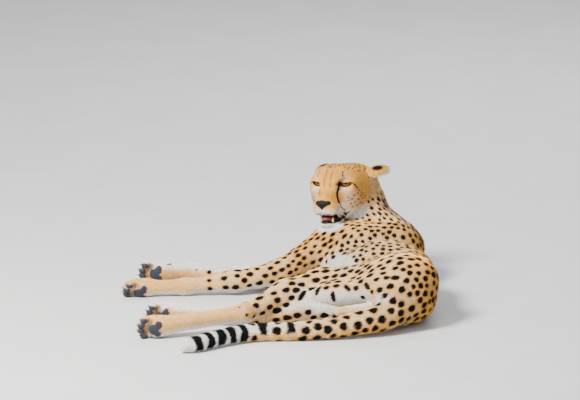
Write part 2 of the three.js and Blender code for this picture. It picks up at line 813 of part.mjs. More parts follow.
// The trunk, the neck and the three lengths of the tail.
const neckPlanes = [CUTS.neckBase, CUTS.neckFront, opposite(CUTS.nape)];
const tailPlanes = [CUTS.tailRoot, CUTS.tailSide];
const bodyAndLegs = (x, y, z) => {
  const d = body(x, y, z);
  return allLegs.reduce((least, leg) => Math.min(least, round(JOIN, d, leg(x, y, z))), d);
};
const trunkGrid = around([14, -55, 80], [186, 400, 110], 41);
let [trunk, trunkRoom] = pieceAndRoom(meshOf(bodyAndLegs, trunkGrid));
for (const planes of [neckPlanes, tailPlanes, [CUTS.arms], [CUTS.thighs, CUTS.flank]])
  trunk = outside(trunk, planes);
pieces.trunk = trunk.subtract(headRoom);
const neckGrid = around([-10, 270, 170], [130, 120, 110], 30);
const wholeNeck = within(solid(meshOf(neckAndHead, neckGrid)), neckPlanes);
pieces.neck = wholeNeck.subtract(rooms.ear_left);

// The tail between two stations of its curve, as rings of points round the centreline.
function tailLength(from, to) {
  const rings = [];
  const count = Math.ceil((to - from) * TAIL_RINGS);
  for (let i = 0; i <= count; i++) {
    const t = Math.min(from + ((to - from) * i) / count, 1);
    rings.push([t, tailRadius.getPoint(t).y]);
  }
  if (to > 1) for (const [reach, width] of TAIL_END) rings.push([1, width, reach]);
  const places = [];
  for (const [t, radius, reach = 0] of rings) {
    const way = tailCurve.getTangent(t).toArray();
    const [ahead, side, up] = axes(way, [0, 0, 1]);
    const middle = add(tailCurve.getPoint(t).toArray(), scale(ahead, reach));
    for (let k = 0; k < TAIL_SIDES; k++) {
      const turn = (2 * Math.PI * (k + 0.5)) / TAIL_SIDES;
      const out = add(scale(side, Math.cos(turn)), scale(up, Math.sin(turn)));
      places.push(add(middle, scale(out, radius)));
    }
  }
  const last = places.length - TAIL_SIDES;
  const index = [];
  for (let ring = 0; ring < rings.length - 1; ring++)
    for (let k = 0; k < TAIL_SIDES; k++) {
      const [a, b] = [k, (k + 1) % TAIL_SIDES].map((n) => ring * TAIL_SIDES + n);
      index.push(a, b, a + TAIL_SIDES, b, b + TAIL_SIDES, a + TAIL_SIDES);
    }
  for (let k = 1; k < TAIL_SIDES - 1; k++)
    index.push(0, k + 1, k, last, last + k, last + k + 1);
  const geometry = new THREE.BufferGeometry();
  geometry.setAttribute("position", new THREE.Float32BufferAttribute(places.flat(), 3));
  geometry.setIndex(index);
  return geometry;
}

const tailStarts = [tailPlanes, [CUTS.tailMiddle], [CUTS.tailTip]];
["tail_base", "tail_middle", "tail_tip"].forEach((name, i) => {
  const next = tailStarts[i + 1] ? tailStarts[i + 1].map(opposite) : [];
  const [from, to] = TAIL_LENGTHS[i];
  pieces[name] = within(solid(tailLength(from, to)), [...tailStarts[i], ...next]);
});

// Under the root of the tail.
const [scrotumFrom, scrotumTo, scrotumStart, scrotumEnd] = SCROTUM;
const scrotumField = rod(scrotumFrom, scrotumTo, scrotumStart, scrotumEnd);
pieces.scrotum = solid(meshOf(scrotumField, along(scrotumFrom, scrotumTo, 30, [20, 13, 13])))
  .subtract(trunkRoom)
  .subtract(rooms.thigh_left)
  .subtract(rooms.thigh_right)
  .subtract(solid(swollen(tailLength(...TAIL_LENGTHS[0]))));

// ---- materials and nodes ---------------------------------------------------------------------

const COLOURS = {
  coat: 0xd9a867,
  pale: 0xe9dcc6,
  nose: 0x221d1c,
  eye: 0xb5701c,
  tongue: 0xb4544f,
};
const finish = (colour, roughness) =>
  new THREE.MeshStandardMaterial({ color: colour, roughness, metalness: 0 });
const coat = finish(COLOURS.coat, 0.9);
const materials = {
  nose: finish(COLOURS.nose, 0.5),
  tongue: finish(COLOURS.tongue, 0.5),
  lower_jaw: finish(COLOURS.pale, 0.9),
  eye_left: finish(COLOURS.eye, 0.1),
  eye_right: finish(COLOURS.eye, 0.1),
};

const cheetah = new THREE.Group();
for (const [name, piece] of Object.entries(pieces)) {
  const mesh = new THREE.Mesh(
    geometryOf(largest(piece.intersect(beyond(FLOOR, 0)).setTolerance(TOLERANCE))),
    materials[name] ?? coat,
  );
  mesh.name = name;
  cheetah.add(mesh);
}

export default cheetah;
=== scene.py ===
import functools
import math

import bpy
import numpy as np
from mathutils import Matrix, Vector


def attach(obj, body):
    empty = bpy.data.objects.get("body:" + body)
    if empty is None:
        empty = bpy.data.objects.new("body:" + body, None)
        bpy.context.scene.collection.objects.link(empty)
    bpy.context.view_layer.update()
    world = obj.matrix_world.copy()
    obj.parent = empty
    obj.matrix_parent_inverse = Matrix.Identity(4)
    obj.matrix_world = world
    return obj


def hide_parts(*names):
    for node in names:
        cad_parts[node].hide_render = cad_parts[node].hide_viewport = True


bl_info = {
    "name": "Resting cheetah",
    "version": (1, 0, 0),
    "blender": (4, 5, 0),
    "location": "View3D > Sidebar > Cheetah",
    "description": "A life-size cheetah lying on its side: skin, coat, eyes, mouth, claws and whiskers",
    "category": "Object",
}

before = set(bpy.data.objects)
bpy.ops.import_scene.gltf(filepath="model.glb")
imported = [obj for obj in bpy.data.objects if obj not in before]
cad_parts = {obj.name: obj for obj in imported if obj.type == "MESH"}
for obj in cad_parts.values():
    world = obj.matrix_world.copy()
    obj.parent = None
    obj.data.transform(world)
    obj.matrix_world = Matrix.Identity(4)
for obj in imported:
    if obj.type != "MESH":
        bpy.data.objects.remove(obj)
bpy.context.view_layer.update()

# Sizes below are in millimetres, in the part's own frame, unless a name says otherwise. The spine
# runs along +Y, the back faces +X, the legs stretch out along -X and the floor is at Z = 0.
MM = 0.001

# ---- the body's places and sizes ----------------------------------------------------------------

SPINE = {
    "pelvis": (80, -262, 80),
    "loin": (88, -140, 77),
    "ribs": (42, -36, 75),
    "chest": (0, 118, 65),
    "withers": (68, 205, 84),
    "neck_base": (40, 240, 88),
    "neck_top": (-42, 288, 186),
}
TAIL_PATH = (
    (70, -345, 62),
    (36, -394, 46),
    (-40, -432, 36),
    (-120, -456, 28),
    (-208, -467, 23.5),
    (-292, -472, 23),
    (-353, -500, 22.5),
    (-408, -545, 21.5),
    (-452, -590, 20.5),
    (-482, -608, 19),
)
TAIL_RADIUS = (40, 36, 31, 27, 25, 24.5, 24, 23, 22, 20)
TAIL_RODS = 22
SCROTUM = ((14, -350, 55), (-84, -360, 51), 22, 15)

HEAD_EYES = (-100, 200, 265)  # midway between the eyes
HEAD_YAW = 24  # degrees from -Y towards -X
HEAD_ROLL = 4  # degrees the animal's left side is raised

EYE_CENTRE = (-16, 37, 1)  # in the head's own axes: forwards, to its left, up
EYE_RADIUS = 16.5
EYE_LID = 3.6
EYE_TURN = 12  # degrees each eye is turned outwards
EYE_RAISED = 0.1  # how far the gaze rises

EARS = {  # in the head's own axes. patch: how far the dark patch lies to one side
    "left": {"base": (-94, 64, 12), "tip": (-122, 112, 17), "back": (0.14, 0.15, 0.97), "patch": -6},
    "right": {"base": (-96, -58, 14), "tip": (-136, -86, 12), "back": (0.3, -0.1, 0.95), "patch": 0},
}
EAR_LONG, EAR_WIDE, EAR_THICK, EAR_HOLLOW = 34, 27, 14, 5
EAR_MIDDLE = 0.45  # of the way from an ear's base to its tip

TOES = (-1.5, -0.5, 0.5, 1.5)
TOE_APART = 15.5
PAW_SIZE = 0.92
PAW_BACK = 22  # how far a paw's own origin lies behind the root of its toes
PAWS = {  # a leg's joints from its top to the root of the toes, and the ways its paw turns
    "fore_left": {
        "joints": [(-96, 176, 112), (-238, 86, 50), (-356, 54, 35), (-486, 44, 23), (-614, 28, 23)],
        "toes": (-1, -0.12, 0), "back": (0.1, 0.85, 0.5),
    },
    "fore_right": {
        "joints": [(-96, 222, 48), (-224, 124, 34), (-350, 160, 25), (-470, 226, 22), (-572, 200, 27)],
        "toes": (-1, 0.02, 0), "back": (0.35, 0.9, 0.1),
    },
    "hind_left": {
        "joints": [(92, -250, 118), (-126, -178, 80), (-222, -252, 66), (-334, -366, 48), (-572, -438, 30)],
        "toes": (-1, -0.15, 0), "back": (0.3, 0.95, 0.12),
    },
    "hind_right": {
        "joints": [(92, -262, 52), (-84, -248, 38), (-190, -282, 33), (-306, -322, 26), (-548, -250, 26)],
        "toes": (-1, 0.1, 0), "back": (0.1, 0.9, 0.4),
    },
}
FLOOR_GAP = 0.6  # from the floor up to the skin that rests on it
COAT_FLOOR_GAP = 0.35  # from the floor up to the lowest tufts
CLAW_FLOOR_GAP = 0.5  # from the floor up to the lowest claws

# ---- small vector tools -------------------------------------------------------------------------


def vec(*values):
    return np.array(values[0] if len(values) == 1 else values, dtype=np.float64)


def length(v):
    return np.sqrt((v * v).sum(axis=-1))


def unit(v):
    return v / np.maximum(length(v), 1e-9)[..., None]


def mix(a, b, t):
    return vec(a) + (vec(b) - vec(a)) * t


def axes(first, third):
    """Three square axes: the first along `first`, the third as near as it gets to `third`."""
    a = unit(vec(first))
    b = unit(np.cross(vec(third), a))
    return np.stack([a, b, np.cross(a, b)])


def smooth(low, high, value):
    """0 at low, 1 at high, with soft ends. low may be the greater."""
    t = np.clip((value - low) / (high - low), 0, 1)
    return t * t * (3 - 2 * t)


def most(*values):
    """The greatest of several values at each point."""
    return functools.reduce(np.maximum, values)


def spline(points, t):
    """A Catmull-Rom curve through the points, at t from 0 to 1."""
    points = vec(points)
    last = len(points) - 1
    at = np.clip(np.asarray(t, dtype=float) * last, 0, last - 1e-9)
    i = at.astype(int)
    s = (at - i)[..., None]
    padded = np.vstack([2 * points[0] - points[1], points, 2 * points[-1] - points[-2]])
    p0, p1, p2, p3 = (padded[i + n] for n in range(4))
    return 0.5 * (
        2 * p1 + (p2 - p0) * s + (2 * p0 - 5 * p1 + 4 * p2 - p3) * s**2 + (3 * p1 - p0 - 3 * p2 + p3) * s**3
    )


# ---- distance fields ----------------------------------------------------------------------------


def egg(centre, radii, turn=None):
    """An egg with the given half-sizes along its own axes."""
    centre, radii = vec(centre), vec(radii)

    def field(p):
        q = p - centre
        if turn is not None:
            q = q @ turn.T
        a = q / radii
        near = length(a)
        return near * (near - 1) / np.maximum(length(a / radii), 1e-9)

    return field


def rod(start, end, r0, r1, flat=1, thin=(0, 0, 1)):
    """A tapered rod with round ends. flat below 1 thins it along `thin`."""
    stretch = np.eye(3) + (1 / flat - 1) * np.outer(unit(vec(thin)), unit(vec(thin)))
    a, b = vec(start) @ stretch, vec(end) @ stretch
    ab = b - a

    def field(p):
        q = (p @ stretch if flat < 1 else p) - a
        t = np.clip(q @ ab / (ab @ ab), 0, 1)
        return (length(q - t[:, None] * ab) - (r0 + t * (r1 - r0))) * flat

    return field


def round_join(k, d, e):
    """The lesser of two distances, with a fillet of about k where they meet."""
    h = np.maximum(k - np.abs(d - e), 0) / k
    return np.minimum(d, e) - h * h * k * 0.25


def blend(k, shapes):
    def field(p):
        d = shapes[0](p)
        for shape in shapes[1:]:
            d = round_join(k, d, shape(p))
        return d

    return field


def without(k, shape, hole):
    return lambda p: -round_join(k, -shape(p), hole(p))


def placed(shape, origin, turn):
    """A field given in a frame's own axes, used in the part's."""
    return lambda p: shape((p - vec(origin)) @ turn.T)


NEARBY = 48  # the distance at which a bounded field starts to be worked out


def bounded(field, centre, reach):
    """The same field, worked out only near it. Further off the distance to a ball stands in."""
    centre = vec(centre)

    def near(p):
        d = length(p - centre) - reach
        close = d < NEARBY
        if close.any():
            d[close] = field(p[close])
        return d

    return near


def mirrored(place, s):
    """The same place on the left for s = 1, or on the right for s = -1, in the head's own axes."""
    return vec(place) * vec(1, s, 1)


def eggs(centre, radii):
    """An egg and its mirror image."""
    return [egg(mirrored(centre, s), radii) for s in (1, -1)]


def rods(start, end, r0, r1):
    """A rod and its mirror image."""
    return [rod(mirrored(start, s), mirrored(end, s), r0, r1) for s in (1, -1)]


def twice(centre, radii, *more):
    """Rows of a table for an egg and its mirror image, with the same further values."""
    return [(shape, *more) for shape in eggs(centre, radii)]


# ---- trunk, neck, tail --------------------------------------------------------------------------

TRUNK = blend(40, [
    egg(SPINE["pelvis"], (92, 126, 83)),
    egg(SPINE["loin"], (86, 140, 80)),
    egg(SPINE["ribs"], (128, 120, 90)),
    egg(SPINE["chest"], (130, 138, 71)),
    egg(SPINE["withers"], (76, 92, 62)),
    rod((-30, 150, 124), (52, 178, 120), 50, 44, 0.8),  # left shoulder blade
    rod((-92, 186, 104), (-40, 166, 116), 50, 54, 0.9),  # point of the left shoulder
    rod((104, -236, 104), (50, -256, 110), 52, 58, 0.9),  # left haunch
])
NECK = blend(30, [
    rod(SPINE["neck_base"], SPINE["neck_top"], 88, 60),
    rod((104, 248, 88), (4, 300, 166), 28, 20),  # crest of the nape
    rod((-14, 294, 202), (-30, 276, 244), 54, 54),  # up to the back of the skull
])


def tail_rods():
    stations = np.linspace(0, 1, TAIL_RODS + 1)
    places = spline(TAIL_PATH, stations)
    radii = spline([(r, 0, 0) for r in TAIL_RADIUS], stations)[:, 0]
    return [
        bounded(rod(a, b, r, s), (a + b) / 2, 50)
        for a, b, r, s in zip(places[:-1], places[1:], radii[:-1], radii[1:])
    ]


TAIL = blend(6, tail_rods())
SCROTUM_FIELD = bounded(rod(*SCROTUM), mix(*SCROTUM[:2], 0.5), 75)

# ---- head ---------------------------------------------------------------------------------------


def head_axes():
    """The head's own axes, one in each row: forwards to the nose, to its left, and up."""
    yaw, roll = math.radians(-90 - HEAD_YAW), math.radians(HEAD_ROLL)
    turn = np.array([[math.cos(yaw), -math.sin(yaw), 0], [math.sin(yaw), math.cos(yaw), 0], [0, 0, 1]])
    tip = np.array([[1, 0, 0], [0, math.cos(roll), -math.sin(roll)], [0, math.sin(roll), math.cos(roll)]])
    return (turn @ tip).T


HEAD_AXES = head_axes()


def head_point(p):
    return vec(HEAD_EYES) + vec(p) @ HEAD_AXES


def in_head(p):
    """Points of the part's frame in the head's own axes."""
    return (p - vec(HEAD_EYES)) @ HEAD_AXES.T


def eye_axes(s):
    """One eye's own axes in the head: along its gaze, to the animal's left, and up."""
    turn = math.radians(EYE_TURN) * s
    gaze = vec(math.cos(turn), math.sin(turn), 0)
    return np.stack([gaze, vec(-math.sin(turn), math.cos(turn), 0), vec(0, 0, 1)])


def eye_centre(s):
    return mirrored(EYE_CENTRE, s)


def eye_opening(s):
    """Below zero between the lids: nearly straight above, curved below, drawn out to the nose."""

    def field(p):
        q = (p - eye_centre(s)) @ eye_axes(s).T
        across = q[:, 1] * s
        rise = 0.1 * across
        bow = np.clip(1 - (across / 15.5) ** 2, 0, 1)
        upper = rise + 1.5 * bow**0.8 - 0.4
        lower = rise - 4.7 * bow**0.75
        corner = np.abs(q[:, 2] + 1.2 + 0.16 * across) - 1.3  # the tear duct
        corner = np.maximum(corner, np.abs(across + 17.5) - 4.5)
        between = most(q[:, 2] - upper, lower - q[:, 2], np.abs(across) - 15)
        return most(np.minimum(between, corner), EYE_RADIUS - 2.2 - length(q), -q[:, 0])

    return field


SKULL = blend(20, [
    egg((-62, 0, -2), (76, 62, 42)),  # cranium
    *eggs((-44, 28, 2), (58, 40, 36)),  # flat of the crown
    egg((-8, 0, 12), (28, 38, 24)),  # brow
    *rods((16, 12, 4), (-16, 19, 30), 10, 13),  # frown on either side
    *eggs((-32, 42, -24), (44, 30, 38)),  # cheekbones
    *eggs((-64, 44, -36), (50, 34, 42)),  # jaw muscles
    *eggs((-34, 34, -62), (44, 30, 28)),  # ruff under the cheeks
    rod((2, 0, -14), (54, 0, -42), 24, 18),  # bridge of the nose
    rod((8, 0, -46), (42, 0, -52), 34, 26),  # upper jaw
])
SOCKETS = blend(4, eggs((6, 38, 1), (12, 17, 12)))
FACE = blend(9, [
    without(12, SKULL, SOCKETS),
    *eggs((45, 17, -57), (25, 18.5, 19.5)),  # whisker pads
])
LIDS = eggs(EYE_CENTRE, [EYE_RADIUS + EYE_LID] * 3)
UPPER_HEAD = blend(5, [FACE, *LIDS])
MANDIBLE = blend(16, [
    rod((-44, 0, -76), (32, 0, -97), 24, 13, 0.8),
    *rods((-40, 36, -70), (26, 18, -95), 19, 11),
    egg((42, 0, -100), (18, 18, 12)),  # chin
])


def across_mouth(f, u, r):
    return rod((f, -60, u), (f, 60, u), r, r)


MOUTH = blend(6, [
    across_mouth(8, -76, 1.5),
    across_mouth(30, -79.5, 5.5),
    across_mouth(50, -80, 8.5),
    across_mouth(72, -79, 12),
    across_mouth(95, -78, 15),
])
PALATE = rod((0, 0, -81), (40, 0, -80), 12, 17, 0.45)  # the hollow behind the teeth
PHILTRUM = rod((73, 0, -52), (69, 0, -68), 1.6, 1.4)
NOSE_PAD = blend(5, [
    *rods((66, 0, -38.5), (63.5, 16.5, -38.5), 6.8, 4.6),
    egg((67, 0, -42.5), (7.5, 13, 7.5)),
    rod((67.5, 0, -44), (68, 0, -50.5), 6.6, 4),
])
NOSTRILS = blend(2, [
    *rods((75, 8.5, -43), (69, 16, -42.5), 2.5, 2.3),
    *rods((69, 16, -42.5), (60, 22, -39.5), 2.0, 1.1),
    rod((75.5, 0, -38), (73.5, 0, -54), 0.8, 0.8),
])


def head_skin(p):
    """The head's flesh in its own axes, with its lids open."""
    d = blend(14, [UPPER_HEAD, MANDIBLE])(p)
    for s in (1, -1):
        d = -round_join(1.2, -d, eye_opening(s)(p))
    return -round_join(2.5, -d, PHILTRUM(p))


def on_head(shape, centre, reach):
    """A field given in the head's own axes, used in the part's and worked out only near it."""
    return bounded(placed(shape, HEAD_EYES, HEAD_AXES), head_point(centre), reach)


HEAD = on_head(head_skin, (-28, 0, -24), 128)
HEAD_PLAIN = on_head(blend(14, [UPPER_HEAD, MANDIBLE]), (-28, 0, -24), 128)
MOUTH_FIELD = on_head(blend(4, [MOUTH, PALATE]), (40, 0, -78), 90)


def ear_turn(ear):
    """An ear's own axes in the head: to its tip, across, and out of its rounded back."""
    return axes(vec(ear["tip"]) - vec(ear["base"]), ear["back"])


def ear_field(ear):
    turn = ear_turn(ear)
    centre = mix(ear["base"], ear["tip"], EAR_MIDDLE)
    shell = egg(centre, (EAR_LONG, EAR_WIDE, EAR_THICK), turn)
    inner = centre + 3 * turn[0] - EAR_HOLLOW * turn[2]
    hollow = egg(inner, (EAR_LONG - 5, EAR_WIDE - 5, EAR_THICK - 2), turn)
    return on_head(without(3, shell, hollow), centre, EAR_LONG + 4)


# ---- legs ---------------------------------------------------------------------------------------


def toe_reach(toe):
    return 0 if abs(toe) > 1 else 8


def paw_local(p):
    """A paw in its own axes: towards the toes, across, and towards the back of the paw."""
    shapes = [egg((10, 0, 2), (38, 26, 19))]
    for toe in TOES:
        tip = (46 + toe_reach(toe), toe * TOE_APART, -6)
        shapes.append(rod((22, toe * 12, 5), tip, 12, 11))
        shapes.append(egg((47 + toe_reach(toe), toe * TOE_APART, -13), (11.5, 8.5, 9.5)))
    shapes.append(egg((16, 0, -14), (18, 24, 12.5)))
    return blend(5, shapes)(p / PAW_SIZE) * PAW_SIZE


for paw in PAWS.values():
    paw["axes"] = axes(paw["toes"], paw["back"])
    paw["origin"] = vec(paw["joints"][-1]) - PAW_BACK * paw["axes"][0]
    shape = placed(paw_local, paw["origin"], paw["axes"])
    paw["field"] = bounded(shape, paw["origin"] + 20 * paw["axes"][0], 58)


def leg_line(name):
    """A leg's joints from the top down, its paw's origin at the end."""
    return [*(vec(joint) for joint in PAWS[name]["joints"][:-1]), PAWS[name]["origin"]]


def limb(k, name, radii, flat=1, extra=(), thin=(0, 0, 1)):
    """A leg: rods between its joints, melted together, with its paw at the end."""
    points = leg_line(name)
    shapes = []
    for i, (r0, r1) in enumerate(radii):
        a, b = points[i], points[i + 1]
        shape = rod(a, b, r0, r1, flat if i == 0 else 1, thin)
        shapes.append(bounded(shape, (a + b) / 2, length(b - a) / 2 + max(r0, r1) / min(flat, 1) + 4))
    return blend(k, [*shapes, *extra, PAWS[name]["field"]])


LEGS = [
    limb(22, "fore_left", [(56, 34), (33, 27), (27, 20), (20, 20)], 0.85, thin=(0.3, 0.4, 1)),
    limb(22, "fore_right", [(52, 33), (33, 25), (25, 20), (20, 20)], 0.8),
    limb(26, "hind_left", [(78, 46), (46, 41), (41, 22), (22, 24)], 0.78, [
        bounded(rod((40, -316, 104), (-92, -262, 76), 52, 34, 0.8), (-26, -290, 90), 140),
        bounded(rod((-92, -262, 76), (-206, -262, 62), 34, 25, 0.8), (-150, -262, 70), 100),
    ]),
    limb(26, "hind_right", [(66, 40), (38, 31), (31, 21), (20, 19)], 0.7),
]
EAR_FIELDS = [ear_field(ear) for ear in EARS.values()]


def whole(p):
    """The outline of the animal out to the tips of its coat."""
    neck = NECK(p)
    d = round_join(34, round_join(34, TRUNK(p), neck), TAIL(p))
    nearest = d
    for leg in LEGS:
        nearest = np.minimum(nearest, round_join(34, d, leg(p)))
    nearest = round_join(10, nearest, SCROTUM_FIELD(p))
    nearest = round_join(7, nearest, round_join(24, neck, HEAD(p)))
    for ear in EAR_FIELDS:
        nearest = round_join(8, nearest, ear(p))
    return -round_join(3, -nearest, MOUTH_FIELD(p))


# ---- how the coat lies and what it is like on each part -----------------------------------------

# depth: of the coat over the skin. long, wide, gap, lift: a tuft's length, width, distance to the
# next and slope in degrees. spot, apart, drawn: a spot's half-width, the distance between
# neighbours and how much longer than wide it is.
STYLE_KEYS = ("depth", "long", "wide", "gap", "lift", "spot", "apart", "drawn")
STYLES = {
    "head": (1.5, 4.5, 0.95, 1.4, 13, 0, 20, 1),
    "neck": (3.6, 12, 1.4, 2.1, 15, 4.7, 13.2, 1.5),
    "mane": (6, 20, 1.7, 2.3, 18, 4.7, 13.6, 1.6),
    "shoulder": (2.8, 9, 1.3, 1.95, 12, 5.5, 15, 1.5),
    "trunk": (3, 10, 1.35, 2.0, 12, 6.5, 16.4, 1.4),
    "haunch": (2.8, 9, 1.35, 2.0, 12, 7.7, 18.4, 1.35),
    "shank": (2.4, 8, 1.25, 1.9, 12, 8.1, 21, 1.5),
    "forearm": (2.2, 7, 1.15, 1.8, 12, 6.9, 19.5, 1.4),
    "foot": (1.5, 5.2, 0.85, 1.5, 9, 0, 30, 1),
    "paw": (1.1, 4.0, 0.75, 1.35, 10, 0, 30, 1),
    "tail": (4.5, 13, 1.4, 2.0, 18, 10.2, 22, 1.1),
}


def lie_rods():
    """Rods from where the coat starts to where it points: style, side, ends and radii."""
    s = SPINE
    rows = [
        ("head", "", head_point((30, 0, -40)), head_point((-70, 0, -20)), 42, 66),
        ("neck", "", s["neck_top"], s["neck_base"], 58, 86),
        ("mane", "", (4, 300, 168), (106, 248, 88), 20, 28),
        ("shoulder", "left", (52, 178, 120), (-30, 150, 124), 40, 46),
        ("neck", "", s["neck_base"], s["withers"], 70, 66),
        ("trunk", "", s["withers"], s["ribs"], 70, 94),
        ("trunk", "", s["chest"], s["ribs"], 84, 94),
        ("trunk", "", s["ribs"], s["loin"], 94, 82),
        ("haunch", "", s["loin"], s["pelvis"], 82, 84),
        ("haunch", "", s["pelvis"], (74, -352, 66), 84, 40),
        ("haunch", "left", (40, -316, 104), (-92, -262, 76), 44, 30),
    ]
    for side in ("left", "right"):
        shoulder, elbow, forearm, wrist, fore_paw = leg_line(f"fore_{side}")
        hip, knee, shank, hock, hind_paw = leg_line(f"hind_{side}")
        ahead = [PAWS[f"{end}_{side}"]["axes"][0] for end in ("fore", "hind")]
        last_spots = mix(forearm, wrist, 0.75)
        rows += [
            ("shoulder", side, shoulder, elbow, 48, 33),
            ("forearm", side, elbow, forearm, 32, 26),
            ("forearm", side, forearm, last_spots, 25, 21),
            ("foot", side, last_spots, wrist, 21, 20),
            ("foot", side, wrist, fore_paw, 20, 20),
            ("paw", side, fore_paw, fore_paw + 55 * ahead[0], 24, 24),
            ("haunch", side, hip, knee, 62, 42),
            ("shank", side, knee, shank, 42, 34),
            ("shank", side, shank, hock, 34, 21),
            ("foot", side, hock, hind_paw, 20, 19),
            ("paw", side, hind_paw, hind_paw + 55 * ahead[1], 24, 24),
        ]
    ends = zip(TAIL_PATH[:-1], TAIL_PATH[1:], TAIL_RADIUS[:-1], TAIL_RADIUS[1:])
    return rows + [("tail", "", *row) for row in ends]


LIE_RODS = lie_rods()
NOSE_TIP = (74, 0, -36)
REGION_SPREAD = 9.0  # how gradually one region passes into the next


def regions(p):
    """Each point's share in every rod of LIE_RODS, as rows that add up to one."""
    away = np.stack([rod(*row[2:])(p) for row in LIE_RODS], axis=1)
    share = np.exp(-(away - away.min(axis=1, keepdims=True)) / REGION_SPREAD)
    return share / share.sum(axis=1, keepdims=True)


def pad_outline(p, paw):
    """How far a point lies outside the outline of a paw's pads, as seen from below."""
    q = (p - paw["origin"]) @ paw["axes"].T / PAW_SIZE
    below = (q[:, 2] < 2) & (q[:, 2] > -34)
    q = q * vec(1, 1, 0)
    toes = [egg((48 + toe_reach(t), t * TOE_APART, 0), (11.3, 7.6, 99)) for t in TOES]
    large = blend(4, [egg((21, 0, 0), (13.5, 16, 99)), *eggs((8, 13, 0), (11.5, 11.5, 99))])
    return np.where(below, np.min([shape(q) for shape in (*toes, large)], axis=0), 20)


def share_in(share, *styles):
    return share @ vec([float(row[0] in styles) for row in LIE_RODS])


def share_right(share):
    """How far a point belongs to the right legs, among all the legs."""
    legs = share @ vec([float(row[1] != "") for row in LIE_RODS])
    return share @ vec([float(row[1] == "right") for row in LIE_RODS]) / np.maximum(legs, 1e-6)


def lie_of(p, share, normals):
    """The way the coat points: along the limbs and the back, and away from the nose on the head."""
    ways = unit(np.stack([vec(row[3]) - vec(row[2]) for row in LIE_RODS]))
    head = share_in(share, "head")[:, None]
    lie = share @ ways * (1 - head) + unit(p - head_point(NOSE_TIP)) * head
    for ear, field in zip(EARS.values(), EAR_FIELDS):
        in_ear = smooth(8, 0, field(p))[:, None]
        lie = lie * (1 - in_ear) + ear_turn(ear)[0] @ HEAD_AXES * in_ear
    lie -= normals * (lie * normals).sum(axis=1, keepdims=True)
    return unit(lie)


def ear_inside(p, normals):
    """1 in the hollow faces of the ears."""
    inside = np.zeros(len(p))
    for ear, field in zip(EARS.values(), EAR_FIELDS):
        facing = normals @ (ear_turn(ear)[2] @ HEAD_AXES)
        inside = np.maximum(inside, smooth(8, 2, field(p)) * smooth(0.1, -0.4, facing))
    return inside


# Where the coat differs from its part's style. In the head's own axes, or in the part's frame.
HEAD_COATS = [
    (egg((46, 0, -52), (34, 40, 30)), dict(long=2.4, wide=0.75, gap=1.15, lift=10)),  # muzzle
    *twice((-6, 38, 0), (24, 24, 18), dict(long=2.6, wide=0.75, gap=1.15)),
    (egg((-58, 0, -78), (42, 84, 30)), dict(long=12, wide=1.3, gap=1.8, lift=20)),  # ruff
    (egg((14, 0, -112), (42, 30, 14)), dict(long=7, wide=1.0, gap=1.5, lift=18)),  # chin
    (egg((-78, 0, 42), (40, 44, 18)), dict(long=4.6, lift=15)),  # crown
]
BODY_COATS = [
    (egg((37, -368, 80), (28, 28, 26)), dict(long=17, wide=1.7, lift=38)),  # under the tail
    (rod((-120, -150, 20), (-100, 60, 20), 58, 60), dict(long=17, wide=1.6, gap=2.2, lift=18)),
    (rod((-120, 160, 60), (-60, 240, 110), 40, 40), dict(long=14, lift=18)),  # front of the chest
    (rod((96, -340, 30), (70, -372, 20), 26, 22), dict(long=15, lift=22)),  # rump at the floor
    (egg((-488, -612, 19), (34, 34, 30)), dict(long=6.5, lift=12)),  # tip of the tail
    (SCROTUM_FIELD, dict(long=5, wide=1.1, gap=1.7, lift=12, spot=0)),
]
HEAD_DOTS = [
    (egg((-124, 0, 0), (54, 84, 62)), dict(spot=3.4, apart=12, drawn=1.6)),  # back of the head
    (egg((-54, 0, 37), (46, 66, 29)), dict(spot=2.9, apart=9.4, drawn=1.4)),  # crown
    (egg((-84, 0, 6), (36, 82, 44)), dict(spot=2.6, apart=9.5, drawn=1.5)),  # behind the cheeks
    *twice((-22, 56, -42), (36, 24, 28), dict(spot=2.4, apart=9.2, drawn=1.1)),
]
EAR_COAT = dict(long=13, wide=1.0, gap=1.7, lift=32)  # long hair in the hollow of an ear


def style_at(p, share, normals):
    """Each style value at each point, as a dictionary of arrays."""
    values = dict(zip(STYLE_KEYS, (share @ vec([STYLES[row[0]] for row in LIE_RODS])).T))
    q = in_head(p)
    head = share_in(share, "head", "neck")
    zones = [(smooth(5, -3, shape(q)) * head, changes) for shape, changes in HEAD_COATS + HEAD_DOTS]
    zones += [(smooth(5, -3, shape(p)), changes) for shape, changes in BODY_COATS]
    for inside, changes in (*zones, (ear_inside(p, normals), EAR_COAT)):
        for key, value in changes.items():
            values[key] = values[key] + (value - values[key]) * inside
    values["spot"] *= 1 - ear_share(p)
    return values


def ear_share(p):
    return np.max([smooth(6, 2, field(p)) for field in EAR_FIELDS], axis=0)


EAR_DEPTH, BARE_DEPTH = 0.9, 0.4  # of the coat on the ears, and on bare or nearly bare skin


def coat_depth(p):
    """How deep the skin lies under the tips of the coat."""
    depth = regions(p) @ vec([STYLES[row[0]][0] for row in LIE_RODS])
    thin = smooth(8, 0, MOUTH_FIELD(p))
    q = in_head(p)
    for s in (1, -1):
        thin = np.maximum(thin, smooth(5, 0, length(q - eye_centre(s)) - EYE_RADIUS - EYE_LID))
    thin = np.maximum(thin, 0.7 * smooth(8, 0, length(q - vec(60, 0, -40)) - 24))
    for paw in PAWS.values():
        near = paw["field"](p) < 12
        if near.any():
            thin[near] = np.maximum(thin[near], smooth(1.5, -1.0, pad_outline(p[near], paw)))
    depth += (EAR_DEPTH - depth) * ear_share(p)
    return depth + (BARE_DEPTH - depth) * thin


def skin_field(p):
    """The skin: inside the outline by the coat's depth, and flat where it rests on the floor."""
    d = whole(p)
    close = np.abs(d) < 40
    if close.any():
        d[close] += coat_depth(p[close])
    return np.maximum(d, FLOOR_GAP - p[:, 2])


# ---- meshing a field ----------------------------------------------------------------------------


